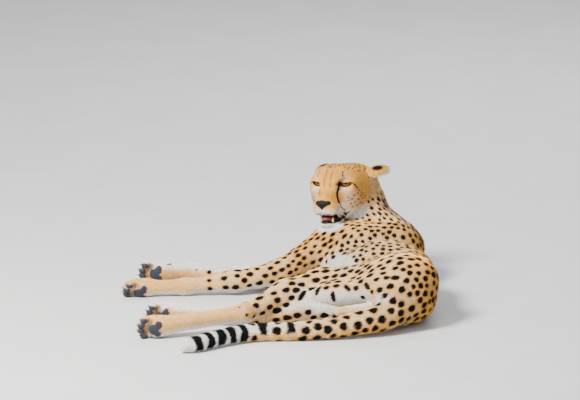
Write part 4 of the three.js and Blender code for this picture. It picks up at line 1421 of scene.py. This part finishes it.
def horn_material(name, base, tip, roughness):
    """Tooth or claw: its colour runs from the root to the tip."""
    material, tree, shader = new_material(name)
    streaks = ranged(tree, noise(tree, 500.0, 3.0), 0.35, 0.65)
    colour = blended(tree, attribute(tree, "along"), base, tip)
    feed(tree, shader, {
        "Base Color": blended(tree, times(tree, streaks, 0.25), colour, base),
        "Roughness": roughness,
        "Normal": bump(tree, noise(tree, 900.0), 0.2, 0.0003),
    })
    return material


def hair_material(name, colour, tip):
    material, tree, shader = new_material(name)
    tint = blended(tree, ranged(tree, noise(tree, 90.0), 0.4, 0.6), colour, tip)
    feed(tree, shader, {"Base Color": tint, "Roughness": 0.4})
    return material


def floor_material(colour):
    material, tree, shader = new_material("floor")
    clouds = ranged(tree, noise(tree, 6.0, 3.0), 0.3, 0.7)
    feed(tree, shader, {
        "Base Color": blended(tree, clouds, colour, [0.96 * c for c in colour]),
        "Roughness": 0.8,
        "Normal": bump(tree, noise(tree, 300.0, 3.0), 0.05, 0.0005),
    })
    return material


# ---- the user's sizes and colours ---------------------------------------------------------------


def colour_property(name, text, value):
    return bpy.props.FloatVectorProperty(
        name=name, description=text, subtype="COLOR", size=3, min=0, max=1, default=value
    )


def number_property(name, text, value, low, high, **more):
    return bpy.props.FloatProperty(name=name, description=text, default=value, min=low, max=high, **more)


def size_property(name, text, value, low, high):
    return number_property(name, text, value, low, high, unit="LENGTH", precision=4)


def count_property(name, text, value, low, high):
    return bpy.props.IntProperty(name=name, description=text, default=value, min=low, max=high)


class CheetahColours(bpy.types.PropertyGroup):
    ground: colour_property("Ground", "Coat between the spots", (0.97, 0.78, 0.50))
    tan: colour_property("Tan", "Coat round the spots, on the rump and on the face", (0.94, 0.48, 0.08))
    cream: colour_property("Cream", "Coat of the belly, chin and inner legs", (0.96, 0.93, 0.89))
    black: colour_property("Black", "Spots, tear lines and tail bands", (0.003, 0.0025, 0.004))
    # Dark grey of the nape's mane, also used for painted shade in the furrows and between the pads.
    smoke_and_shade: colour_property("Smoke_And_Shade", "Dark patch on the nape", (0.11, 0.085, 0.07))
    pad: colour_property("Pad", "Bare pads under the paws", (0.020, 0.021, 0.030))
    pad_worn: colour_property("Worn pad", "Dry and worn parts of the pads", (0.045, 0.047, 0.06))
    lip: colour_property("Lip", "Lips and rims of the lids", (0.006, 0.005, 0.006))
    gum: colour_property("Gum", "Inside of the mouth", (0.16, 0.045, 0.04))
    tongue: colour_property("Tongue", "Tongue", (0.14, 0.022, 0.024))
    nose: colour_property("Nose", "Pad of the nose", (0.004, 0.0035, 0.004))
    pupil: colour_property("Pupil", "Pupils", (0.002, 0.002, 0.002))
    iris: colour_property("Iris", "Iris near its rim", (0.20, 0.085, 0.016))
    iris_light: colour_property("Light iris", "Iris near the pupil", (0.37, 0.17, 0.034))
    eye_white: colour_property("Eye white", "Eyeball outside the iris", (0.42, 0.34, 0.28))
    whisker: colour_property("Whisker", "Whiskers", (0.85, 0.82, 0.76))
    whisker_tip: colour_property("Dull whisker", "Dull parts of the whiskers", (0.5, 0.42, 0.33))
    tooth: colour_property("Tooth", "Tips of the teeth", (0.86, 0.8, 0.66))
    tooth_root: colour_property("Tooth's root", "Teeth at the gum", (0.62, 0.5, 0.3))
    claw: colour_property("Claw", "Tips of the claws", (0.30, 0.24, 0.17))
    claw_root: colour_property("Claw's root", "Claws at the toe", (0.10, 0.075, 0.055))
    floor: colour_property("Floor", "Floor of the stage", (0.61, 0.61, 0.61))


class CheetahCoat(bpy.types.PropertyGroup):
    seed: count_property("Seed", "Changes where each spot and tuft sits", 11, 0, 9999)
    density: number_property("Density", "Number of tufts, as a share of the full coat", 1.0, 0.05, 1.0)
    thickness: number_property("Thickness", "Width of every tuft, as a share of its own", 1.0, 0.3, 2.0)
    skin_step: size_property("Skin step", "Between the skin's corners on the body", 0.0065, 0.003, 0.02)
    face_step: size_property("Face step", "Between the skin's corners on the head", 0.0026, 0.001, 0.01)


class CheetahWhiskers(bpy.types.PropertyGroup):
    rows: count_property("Rows", "Rows of whiskers on each side", 4, 1, 6)
    length: size_property("Length", "Length of the longest whiskers", 0.078, 0.01, 0.15)
    thickness: size_property("Thickness", "Radius of a whisker at its root", 0.00024, 0.0001, 0.002)
    droop: size_property("Droop", "How far the tip of the longest whisker sinks", 0.012, 0.0, 0.05)


class CheetahStage(bpy.types.PropertyGroup):
    distance: size_property("Distance", "From the camera to the middle of its view", 42.4, 2.0, 90.0)
    elevation: number_property(
        "Elevation", "Angle of the camera above the floor", math.radians(13), 0, 1.5, subtype="ANGLE"
    )
    lens: number_property("Lens", "Focal length of the camera in mm", 1000, 20, 5000)
    key_power: number_property("Key light", "Power of the main light", 385, 0, 9999, unit="POWER")


# ---- making the pieces --------------------------------------------------------------------------

OTHER_NODES = ("nose", "tongue", "eye_left", "eye_right")
FLESH_NODES = [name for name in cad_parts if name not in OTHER_NODES]
BODY_EDGE, HEAD_EDGE, PAW_EDGE = 9.6, 4.4, 3.4  # longest edges of the skin's triangles
FINE_PLACES = [  # where the skin needs small triangles: place in the head, radius, size of triangle
    *(((-4, 38 * s, 0), 24, 1.7) for s in (1, -1)),
    ((58, 0, -48), 30, 1.9),
    ((36, 0, -80), 40, 2.2),
]


def skin_target(p):
    """The longest edge wanted on the skin near each point."""
    q = in_head(p)
    target = np.where(HEAD_PLAIN(p) < 12, HEAD_EDGE, BODY_EDGE)
    for place, reach, size in FINE_PLACES:
        target = np.minimum(target, size * 1.45 + 6 * smooth(reach, reach + 16, length(q - vec(place))))
    for paw in PAWS.values():
        target = np.minimum(target, np.where(paw["field"](p) < 4, PAW_EDGE, BODY_EDGE))
    return target


def unwrap(thing):
    """An unwrap of the skin's own shape, in a UV map named OFBake."""
    thing.data.uv_layers.new(name="OFBake")
    bpy.ops.object.select_all(action="DESELECT")
    thing.select_set(True)
    bpy.context.view_layer.objects.active = thing
    bpy.ops.object.mode_set(mode="EDIT")
    bpy.ops.mesh.select_all(action="SELECT")
    bpy.ops.uv.smart_project(angle_limit=math.radians(66), island_margin=0.002)
    bpy.ops.object.mode_set(mode="OBJECT")


class CHEETAH_OT_skin(bpy.types.Operator):
    """Makes the one skin that stands for all the nodes of flesh, with its markings"""

    bl_idname = "cheetah.skin"
    bl_label = "Skin"

    def execute(self, context):
        coat, colours = context.scene.cheetah_coat, context.scene.cheetah_colours
        step, fine = coat.skin_step / MM, coat.face_step / MM
        stations = (
            spaced(-668, 192, step, -222, 2, fine),
            spaced(-636, 378, step, 118, 332, fine),
            spaced(-12, 322, step, 166, 318, fine),
        )
        points, triangles = surface_nets(grid_values(skin_field, *stations), stations)
        points = settle(skin_field, points, steps=2)
        points = relax(skin_field, points, triangles, rounds=1)
        points, triangles = refine(skin_field, points, triangles, skin_target)
        points = relax(skin_field, points, triangles, rounds=1)
        points[:, 2] = np.maximum(points[:, 2], FLOOR_GAP)
        skin = mesh_object("skin", points, triangles)
        normals = normals_of(points, triangles)
        share = regions(points)
        for name, values in masks_at(points, normals, share).items():
            set_attribute(skin, name, values)
        spots = spots_on(points, triangles, coat.seed)
        set_attribute(skin, "spot", spot_value(points, normals, spots))
        set_attribute(skin, "warm_and_shade", warmth_and_shade_at(points, normals, share))
        unwrap(skin)
        finish_piece(skin, skin_material(colours), FLESH_NODES)
        return {"FINISHED"}


def warmth_and_shade_at(p, normals, share):
    """Where the ground is a warmer tan: face, feet and shoulders by their own colour, back and rump by their
    own colour and painted shade, the tail's underside by painted shade.
    """
    # On the back and rump the tan is partly the coat's own colour and partly painted shade on the side
    # turned from the light.
    warm_and_shade = 0.24 + 0.5 * smooth(60, 160, p[:, 0]) * share_in(share, "trunk", "haunch", "neck")
    warm_and_shade += 0.76 * share_in(share, "head") + 0.45 * share_in(share, "foot", "paw")
    # Painted shade: the faces of the tail that turn down are painted a darker tan.
    warm_and_shade += 0.35 * share_in(share, "tail") * smooth(0.3, -0.4, normals[:, 2])
    warm_and_shade += 0.25 * share_in(share, "shoulder")
    return np.clip(warm_and_shade, 0, 1)


# ---- coat ---------------------------------------------------------------------------------------

COAT_LIMIT = 196000  # triangles in one coat piece
NEEDLE_FACES = [(0, 2, 3), (2, 1, 3), (1, 0, 3), (0, 1, 2)]
LOCK_FACES = [
    (0, 2, 5), (0, 5, 3), (2, 1, 4), (2, 4, 5), (1, 0, 3), (1, 3, 4),
    (3, 5, 6), (5, 4, 6), (4, 3, 6), (0, 1, 2),
]
PATCH = 0.003  # width of each tuft's patch in the OFBake map
NEEDLE_PATCH = [(-0.5, -0.4), (0.5, -0.4), (0, -0.2), (0, 0.5)]
LOCK_PATCH = [(-0.5, -0.5), (0.5, -0.5), (0, -0.35), (-0.4, 0.1), (0.4, 0.1), (0, 0.15), (0, 0.5)]


def scattered(points, triangles, gap, rng):
    """Seeded places on the triangles, about `gap` apart: which triangle and where in it."""
    a, b, c = (points[triangles[:, n]] for n in range(3))
    area = length(np.cross(b - a, c - a)) / 2
    wanted = area / gap[triangles].mean(axis=1) ** 2
    count = np.floor(wanted + rng.random(len(wanted))).astype(int)
    which = np.repeat(np.arange(len(triangles)), count)
    u, v = rng.random((2, len(which)))
    over = u + v > 1
    u[over], v[over] = 1 - u[over], 1 - v[over]
    return which, np.stack([1 - u - v, u, v], axis=1)


def tuft_parts(root, ahead, normal, long, wide, lift, curl, bent):
    """Points and triangles of many tufts: thin needles, or locks that bend down to the coat."""
    side = np.cross(normal, ahead)
    rise = np.tan(lift)[:, None]
    wide, long = wide[:, None], long[:, None]
    low = root - 0.35 * wide * normal
    half = 0.5 * wide * side
    ridge = root + 0.3 * wide * normal
    way = unit(ahead + rise * normal)
    if bent:
        bend = 0.55 * long
        middle = root + bend * way
        tip = middle + (long - bend) * unit(ahead + curl[:, None] * rise * normal)
        wing = 0.42 * wide * side
        over = middle + 0.3 * wide * normal
        rows = [low + half, low - half, ridge, middle + wing, middle - wing, over, tip]
    else:
        rows = [low + half, low - half, ridge, root + long * way]
    faces = np.array(LOCK_FACES if bent else NEEDLE_FACES)
    triangles = (faces[None] + len(rows) * np.arange(len(root))[:, None, None]).reshape(-1, 3)
    points = np.stack(rows, axis=1).reshape(-1, 3)
    points[:, 2] = np.maximum(points[:, 2], COAT_FLOOR_GAP)
    return points, triangles


def coat_piece(name, tufts, chosen, bent, material):
    """One coat piece from the chosen tufts."""
    part = {key: values[chosen] for key, values in tufts.items()}
    shape = (part[key] for key in ("root", "ahead", "normal", "long", "wide", "lift", "curl"))
    points, triangles = tuft_parts(*shape, bent)
    patch = PATCH * vec(LOCK_PATCH if bent else NEEDLE_PATCH)
    thing = mesh_object(name, points, triangles)
    for key in MARKINGS:
        set_attribute(thing, key, np.repeat(part[key], len(patch)))
    tone = np.repeat(part["tone"], len(patch)).reshape(-1, len(patch))
    # The corners at each tuft's root are painted darker: painted shade at the base of the coat.
    tone[:, :3] *= 0.8
    set_attribute(thing, "tone", tone.ravel())
    corners = np.clip((part["uv"][:, None] + patch).reshape(-1, 2), 0.0005, 0.9995)
    layer = thing.data.uv_layers.new(name="OFBake")
    layer.data.foreach_set("uv", corners[triangles.ravel()].astype(np.float32).ravel())
    finish_piece(thing, material)


def grow_tufts(skin, settings):
    """Roots, directions, sizes and markings of every tuft on the skin."""
    rng = np.random.default_rng(settings.seed + 1)
    points, triangles = triangles_of(skin)
    normals = normals_of(points, triangles)
    share = regions(points)
    style = style_at(points, share, normals)
    masks = masks_at(points, normals, share)
    ends = points[triangles]
    facing = np.cross(ends[:, 1] - ends[:, 0], ends[:, 2] - ends[:, 0])
    pressed = (ends[:, :, 2].max(axis=1) < FLOOR_GAP + 0.4) & (unit(facing)[:, 2] < -0.8)
    gap = style["gap"] / math.sqrt(settings.density)
    which, bary = scattered(points, triangles, gap, rng)
    keep = ~pressed[which]
    which, bary = which[keep], bary[keep]
    corners = triangles[which]

    def at(values):
        weights = bary if values.ndim == 1 else bary[:, :, None]
        return (values[corners] * weights).sum(axis=1)

    keep = at(masks["bare"]) + at(masks["gum"]) < 0.35
    which, bary, corners = which[keep], bary[keep], corners[keep]
    root, normal = at(points), unit(at(normals))
    lie = lie_of(root, regions(root), normal)
    side = np.cross(normal, lie)
    sway = np.sin(root @ vec(0.041, 0.033, 0.052) + 2 * np.sin(root @ vec(0.017, -0.023, 0.02)))
    turn = 0.16 * sway + rng.normal(0, 0.16, len(root))
    ahead = np.cos(turn)[:, None] * lie + np.sin(turn)[:, None] * side
    tufts = {key: at(style[key]) for key in ("long", "wide", "lift")}
    tufts["long"] *= rng.uniform(0.75, 1.15, len(root))
    tufts["wide"] *= rng.uniform(0.8, 1.2, len(root)) * settings.thickness
    tufts["lift"] = np.radians(tufts["lift"] * rng.uniform(0.6, 1.3, len(root)))
    tufts["curl"] = rng.uniform(-0.3, 0.4, len(root))
    tufts.update(root=root, normal=normal, ahead=ahead, tone=rng.uniform(0.82, 1.12, len(root)))
    seen = root + 0.55 * tufts["long"][:, None] * ahead
    seen_share = regions(seen)
    tufts.update(masks_at(seen, normal, seen_share))
    tufts["spot"] = spot_value(seen, normal, spots_on(points, triangles, settings.seed))
    tufts["warm_and_shade"] = warmth_and_shade_at(seen, normal, seen_share)
    uvs = np.empty(len(skin.data.loops) * 2, np.float32)
    skin.data.uv_layers["OFBake"].data.foreach_get("uv", uvs)
    tufts["uv"] = (uvs.reshape(-1, 3, 2)[which] * bary[:, :, None]).sum(axis=1)
    tufts["part"] = regions(root).argmax(axis=1)
    return tufts


COAT_PIECES = {  # name: which styles it covers, and whether its tufts bend
    "coat_head": (("head",), False),
    "coat_neck": (("neck", "mane"), True),
    "coat_shoulders": (("shoulder",), False),
    "coat_trunk": (("trunk",), False),
    "coat_haunches": (("haunch",), False),
    "coat_legs": (("shank", "forearm"), False),
    "coat_feet": (("foot", "paw"), False),
    "coat_tail": (("tail",), True),
}


class CHEETAH_OT_coat(bpy.types.Operator):
    """Grows the coat over the skin, as tufts that follow its lie and carry its markings"""

    bl_idname = "cheetah.coat"
    bl_label = "Coat"

    def execute(self, context):
        scene = context.scene
        tufts = grow_tufts(bpy.data.objects["skin"], scene.cheetah_coat)
        material = coat_material(scene.cheetah_colours)
        style_of_part = np.array([row[0] for row in LIE_RODS])[tufts["part"]]
        for name, (styles, bent) in COAT_PIECES.items():
            chosen = np.nonzero(np.isin(style_of_part, styles))[0]
            most = COAT_LIMIT // len(LOCK_FACES if bent else NEEDLE_FACES)
            for n in range(0, len(chosen), most):
                number = f"_{n // most + 1}" if len(chosen) > most else ""
                coat_piece(name + number, tufts, chosen[n:n + most], bent, material)
        return {"FINISHED"}


# ---- eyes, nose, mouth, claws and whiskers ------------------------------------------------------


EYE_RINGS, EYE_SIDES = 40, 64
EYE_FRONT = 1.0  # how far the clear front of an eye stands proud


def eyeball(s):
    """An eye with its clear front standing a little proud, and each corner's way off the gaze."""
    gaze, across, up = eye_axes(s)
    gaze, up = unit(gaze + EYE_RAISED * up), unit(up - EYE_RAISED * gaze)
    angle = np.linspace(0, math.pi, EYE_RINGS + 1)[1:-1]
    k = np.arange(EYE_SIDES)
    turn = 2 * math.pi * k / EYE_SIDES
    swell = EYE_RADIUS + EYE_FRONT * smooth(0.75, 0.2, angle)
    ring = np.cos(turn)[:, None] * across + np.sin(turn)[:, None] * up
    rows = [r * (math.cos(a) * gaze + math.sin(a) * ring) for a, r in zip(angle, swell)]
    poles = vec([gaze * (EYE_RADIUS + EYE_FRONT), -gaze * EYE_RADIUS])
    points = np.concatenate([*rows, poles])
    after = (k + 1) % EYE_SIDES
    front, back = len(points) - 2, len(points) - 1
    faces = [np.stack([np.full(EYE_SIDES, front), k, after], 1)]
    for n in range(EYE_RINGS - 2):
        a, b = n * EYE_SIDES + k, n * EYE_SIDES + after
        c, d = a + EYE_SIDES, b + EYE_SIDES
        faces += [np.stack([a, c, b], 1), np.stack([b, c, d], 1)]
    last = (EYE_RINGS - 2) * EYE_SIDES
    faces.append(np.stack([np.full(EYE_SIDES, back), last + after, last + k], 1))
    off = np.concatenate([np.repeat(EYE_RADIUS * np.sin(angle), EYE_SIDES), [0, 0]])
    off[np.concatenate([np.repeat(angle, EYE_SIDES), [0, math.pi]]) > 1.4] = EYE_RADIUS
    return head_point(points + eye_centre(s)), np.concatenate(faces), off


class CHEETAH_OT_eyes(bpy.types.Operator):
    """Makes the two eyes"""

    bl_idname = "cheetah.eyes"
    bl_label = "Eyes"

    def execute(self, context):
        material = eye_material(context.scene.cheetah_colours)
        for side, s in (("left", 1), ("right", -1)):
            points, triangles, off = eyeball(s)
            eye = mesh_object(f"eyeball_{side}", points, triangles)
            set_attribute(eye, "off_axis", off)
            finish_piece(eye, material, [f"eye_{side}"])
        return {"FINISHED"}


class CHEETAH_OT_nose(bpy.types.Operator):
    """Makes the pad of the nose with its nostrils"""

    bl_idname = "cheetah.nose"
    bl_label = "Nose"

    def execute(self, context):
        colours = context.scene.cheetah_colours
        field = without(1.6, NOSE_PAD, NOSTRILS)
        nose = field_mesh("nose_pad", field, (50, -30, -60), (80, 30, -24), 1.0)
        material = leather_material("nose_leather", colours.nose, 2, 900.0, 0.42, 0.0003, 0.14)
        finish_piece(nose, material, ["nose"])
        return {"FINISHED"}


TONGUE = without(3, blend(5, [
    rod((4, 0, -88), (40, 0, -85), 15, 13, 0.5),
    rod((40, 0, -85), (52, 0, -83), 12.5, 10, 0.42),
]), rod((14, 0, -78), (54, 0, -76), 2.4, 2.0))
CANINE_ROOT = (43, 15.5, -93)
CANINE_LONG, TOOTH_LONG = 13, 6.5
TOOTH_ROW = 6  # small teeth between the lower canines
TOOTH_APART = 3.9


def lower_teeth():
    """The two lower canines and the small teeth between them."""
    parts = []
    for s in (1, -1):
        root = vec(CANINE_ROOT) * vec(1, s, 1)
        t = np.linspace(0, 1, 8)
        line = root + np.stack([3.2 * t - 3.0 * t**2, 1.6 * s * t, CANINE_LONG * t], 1)
        parts.append(horn(line, 2.9 * (1 - t**1.6) ** 0.8 + 0.25, 14))
    for n in range(TOOTH_ROW):
        across = (n - (TOOTH_ROW - 1) / 2) * TOOTH_APART
        root = vec(46.5 - 0.018 * across**2, across, -92)
        t = np.linspace(0, 1, 5)
        line = root + np.stack([0.5 * t, 0 * t, TOOTH_LONG * t], 1)
        parts.append(horn(line, 1.75 * (1 - t**3) + 0.2, 10))
    return parts


def along_each(parts):
    """0 at the root of each tube and 1 at its tip, for tubes made by horn."""
    values = []
    for points, _ in parts:
        reach = length(points - points[-1])
        values.append(reach / reach.max())
    return np.concatenate(values)


class CHEETAH_OT_mouth(bpy.types.Operator):
    """Makes the tongue and the lower teeth that the open mouth shows"""

    bl_idname = "cheetah.mouth"
    bl_label = "Mouth"

    def execute(self, context):
        colours = context.scene.cheetah_colours
        tongue = field_mesh("tongue_flesh", TONGUE, (-14, -20, -102), (66, 20, -70), 1.6)
        material = leather_material("tongue_flesh", colours.tongue, 1.5, 700.0, 0.32, 0.0007, 0.5)
        finish_piece(tongue, material, ["tongue"])
        parts = lower_teeth()
        points, triangles = join_parts(parts)
        teeth = mesh_object("teeth", head_point(points), triangles)
        set_attribute(teeth, "along", along_each(parts))
        finish_piece(teeth, horn_material("tooth", colours.tooth_root, colours.tooth, 0.25))
        return {"FINISHED"}


CLAW_STATIONS = np.linspace(0, 1, 9)


def claw_lines():
    """Curved lines for the claws of every paw, in the part's frame."""
    for name, paw in PAWS.items():
        spots = [((54 + toe_reach(toe), toe * TOE_APART, -3), 1.0) for toe in TOES]
        if name.startswith("fore"):
            inner = -1 if name.endswith("left") else 1
            spots.append(((-22, 24 * inner, -4), 0.9))
        for place, size in spots:
            t = CLAW_STATIONS
            bend = np.stack([14.5 * t - 2, 0 * t, 1.5 - 9.5 * t**2 + 1.5 * t], 1) * size
            start = vec(place) * PAW_SIZE - vec(3, 0, 0)
            yield paw["origin"] + (start + bend) @ paw["axes"], size


class CHEETAH_OT_claws(bpy.types.Operator):
    """Makes the blunt claws of all four paws"""

    bl_idname = "cheetah.claws"
    bl_label = "Claws"

    def execute(self, context):
        colours = context.scene.cheetah_colours
        radii = 2.7 * (1 - CLAW_STATIONS) ** 0.7 + 0.3
        parts = [horn(line, size * radii) for line, size in claw_lines()]
        points, triangles = join_parts(parts)
        points[:, 2] = np.maximum(points[:, 2], CLAW_FLOOR_GAP)
        claws = mesh_object("claws", points, triangles)
        set_attribute(claws, "along", along_each(parts))
        finish_piece(claws, horn_material("claw", colours.claw_root, colours.claw, 0.35))
        return {"FINISHED"}


def whisker_roots(rows, long):
    """Roots on the skin of the face, and for each the way it points and its length."""
    roots, ways, lengths = [], [], []
    for s in (1, -1):
        for row in range(rows):
            for n in range(5 if row in (1, 2) else 4):
                back, down = 0.2 * n, row / max(rows - 1, 1)
                roots.append((57 - 8.5 * n - 2 * row, (25 + 3 * n) * s, -50 - 14 * down + 1.5 * n))
                ways.append((-0.15 - 0.9 * back, 1.0 * s, 0.25 - 0.75 * down))
                lengths.append(long * (0.45 + 0.55 * back) * (1 - 0.2 * abs(down - 0.5)))
        for n in range(3):
            roots.append((6 - 6 * n, (30 + 3 * n) * s, 24))
            ways.append((0.25 - 0.2 * n, 0.75 * s, 0.9))
            lengths.append(long * 0.5)
    roots = settle(HEAD_PLAIN, head_point(roots), steps=5, longest=4)
    return roots, unit(vec(ways)) @ HEAD_AXES, vec(lengths)


def whisker_tree(material):
    """Geometry nodes: a tapered, drooping hair on every point, along its own direction."""
    tree = bpy.data.node_groups.new("whiskers", "GeometryNodeTree")
    for way in ("INPUT", "OUTPUT"):
        tree.interface.new_socket("Geometry", in_out=way, socket_type="NodeSocketGeometry")
    for label, kind, value in (("Thickness", "Float", 0.0003), ("Droop", "Float", 0.01), ("Seed", "Int", 3)):
        socket = tree.interface.new_socket(label, in_out="INPUT", socket_type="NodeSocket" + kind)
        socket.default_value = value
    given = tree.nodes.new("NodeGroupInput").outputs

    def grown(kind, inputs, **settings):
        return node(tree, kind, inputs, **settings).outputs[0]

    line = grown("GeometryNodeCurvePrimitiveLine", {"Start": (0, 0, 0), "End": (0, 0, 1)})
    line = grown("GeometryNodeResampleCurve", {"Curve": line, "Count": 9})
    way = grown("GeometryNodeInputNamedAttribute", {"Name": "way"}, data_type="FLOAT_VECTOR")
    reach = grown("GeometryNodeInputNamedAttribute", {"Name": "reach"}, data_type="FLOAT")
    turn = grown("FunctionNodeAlignRotationToVector", {"Vector": way}, axis="Z")
    limits = {2: 0.85, 3: 1.1, "Seed": given["Seed"]}
    vary = node(tree, "FunctionNodeRandomValue", limits, data_type="FLOAT").outputs[1]
    hairs = grown("GeometryNodeInstanceOnPoints", {
        "Points": given["Geometry"], "Instance": line, "Rotation": turn,
        "Scale": times(tree, reach, vary),
    })
    hairs = grown("GeometryNodeRealizeInstances", {"Geometry": hairs})
    factor = grown("GeometryNodeSplineParameter", {})
    sink = times(tree, times(tree, factor, factor), given["Droop"])
    offset = grown("ShaderNodeCombineXYZ", {"Z": times(tree, sink, -1.0)})
    hairs = grown("GeometryNodeSetPosition", {"Geometry": hairs, "Offset": offset})
    taper = grown("ShaderNodeMapRange", {0: factor, 1: 0.0, 2: 1.0, 3: 1.0, 4: 0.15})
    radius = times(tree, taper, given["Thickness"])
    ring = grown("GeometryNodeCurvePrimitiveCircle", {"Resolution": 5, "Radius": 1.0})
    tube = grown("GeometryNodeCurveToMesh", {
        "Curve": hairs, "Profile Curve": ring, "Scale": radius, "Fill Caps": True,
    })
    done = grown("GeometryNodeRealizeInstances", {"Geometry": tube})
    done = grown("GeometryNodeSetMaterial", {"Geometry": done, "Material": material})
    node(tree, "NodeGroupOutput", {0: done})
    return tree


def plain_mesh(thing, tree, values):
    """Turns an object with a geometry nodes tree into a plain mesh object of the same name."""
    modifier = thing.modifiers.new("grow", "NODES")
    modifier.node_group = tree
    for item in tree.interface.items_tree:
        if item.in_out == "INPUT" and item.name in values:
            modifier[item.identifier] = values[item.name]
    seen = thing.evaluated_get(bpy.context.evaluated_depsgraph_get())
    mesh = bpy.data.meshes.new_from_object(seen)
    name = thing.name
    bpy.data.objects.remove(thing)
    made = bpy.data.objects.new(name, mesh)
    bpy.context.scene.collection.objects.link(made)
    return made


class CHEETAH_OT_whiskers(bpy.types.Operator):
    """Makes the whiskers beside the mouth and above the eyes"""

    bl_idname = "cheetah.whiskers"
    bl_label = "Whiskers"

    def execute(self, context):
        sizes, colours = context.scene.cheetah_whiskers, context.scene.cheetah_colours
        roots, ways, lengths = whisker_roots(sizes.rows, sizes.length)
        seeds = mesh_object("whiskers", roots - 1.0 * ways, np.zeros((0, 3), int))
        set_attribute(seeds, "way", ways)
        set_attribute(seeds, "reach", lengths)
        material = hair_material("whisker", colours.whisker, colours.whisker_tip)
        values = {"Thickness": sizes.thickness, "Droop": sizes.droop}
        whiskers = plain_mesh(seeds, whisker_tree(material), values)
        finish_piece(whiskers, material)
        return {"FINISHED"}


# ---- stage --------------------------------------------------------------------------------------

VIEW_MIDDLE = (-0.2105, 0.0, 0.2675)  # metres
FLOOR_HALF = 9000
LIGHTS = (  # name, place and aim in metres, size, share of the key light's power, colour
    ("key", (-2.0, -1.7, 2.9), (-0.15, -0.1, 0.1), 1.3, 1, (1, 0.97, 0.93)),
    ("fill", (-0.9, -3.4, 0.7), (-0.1, 0, 0.15), 2.4, 0.13, (0.94, 0.97, 1)),
    ("back", (0.6, 2.8, 2.6), (-0.1, 0, 0.1), 2.0, 0.22, (1, 1, 1)),
)
SKY = (0.93, 0.95, 1, 1)
SKY_STRENGTH = 0.58


def looking(name, data, place, way):
    """A light or camera in the scene, at a place and turned to look one way."""
    thing = bpy.data.objects.new(name, data)
    thing.location = place
    thing.rotation_euler = way.to_track_quat("-Z", "Y").to_euler()
    bpy.context.scene.collection.objects.link(thing)
    return thing


class CHEETAH_OT_stage(bpy.types.Operator):
    """Makes the floor, the soft studio light and the camera"""

    bl_idname = "cheetah.stage"
    bl_label = "Stage"

    def execute(self, context):
        stage, scene = context.scene.cheetah_stage, context.scene
        corners = FLOOR_HALF * vec([(-1, -1, 0), (1, -1, 0), (1, 1, 0), (-1, 1, 0)])
        floor = mesh_object("floor", corners, np.array([(0, 1, 2), (0, 2, 3)]), False)
        floor.data.materials.append(floor_material(scene.cheetah_colours.floor))
        for name, place, aim, size, share, colour in LIGHTS:
            lamp = bpy.data.lights.new(name, "AREA")
            lamp.shape = "DISK"
            lamp.size, lamp.energy, lamp.color = size, stage.key_power * share, colour
            looking(name, lamp, place, Vector(aim) - Vector(place))
        scene.world = bpy.data.worlds.new("studio")
        scene.world.use_nodes = True
        sky = scene.world.node_tree.nodes["Background"]
        sky.inputs[0].default_value = SKY
        sky.inputs[1].default_value = SKY_STRENGTH
        lens = bpy.data.cameras.new("camera")
        lens.lens, lens.sensor_width, lens.clip_end = stage.lens, 36, 200
        away = Vector((0, -math.cos(stage.elevation), math.sin(stage.elevation))) * stage.distance
        scene.camera = looking("camera", lens, Vector(VIEW_MIDDLE) + away, -away)
        return {"FINISHED"}


# ---- add-on -------------------------------------------------------------------------------------

PIECES = (
    CHEETAH_OT_stage, CHEETAH_OT_skin, CHEETAH_OT_coat, CHEETAH_OT_eyes, CHEETAH_OT_nose,
    CHEETAH_OT_mouth, CHEETAH_OT_claws, CHEETAH_OT_whiskers,
)
SETTINGS = {
    "cheetah_colours": CheetahColours,
    "cheetah_coat": CheetahCoat,
    "cheetah_whiskers": CheetahWhiskers,
    "cheetah_stage": CheetahStage,
}


class CHEETAH_PT_panel(bpy.types.Panel):
    """Lists every piece of the cheetah and its settings"""

    bl_idname = "CHEETAH_PT_panel"
    bl_label = "Resting cheetah"
    bl_space_type = "VIEW_3D"
    bl_region_type = "UI"
    bl_category = "Cheetah"

    def draw(self, context):
        for piece in PIECES:
            self.layout.operator(piece.bl_idname)
        for name, group in SETTINGS.items():
            box = self.layout.box()
            for key in group.__annotations__:
                box.prop(getattr(context.scene, name), key)


CLASSES = (*SETTINGS.values(), *PIECES, CHEETAH_PT_panel)


def register():
    for item in CLASSES:
        bpy.utils.register_class(item)
    for name, group in SETTINGS.items():
        setattr(bpy.types.Scene, name, bpy.props.PointerProperty(type=group))


def unregister():
    for name in SETTINGS:
        delattr(bpy.types.Scene, name)
    for item in reversed(CLASSES):
        bpy.utils.unregister_class(item)


def main():
    register()
    for piece in PIECES:
        group, name = piece.bl_idname.split(".")
        getattr(getattr(bpy.ops, group), name)()


if __name__ == "__main__":
    main()
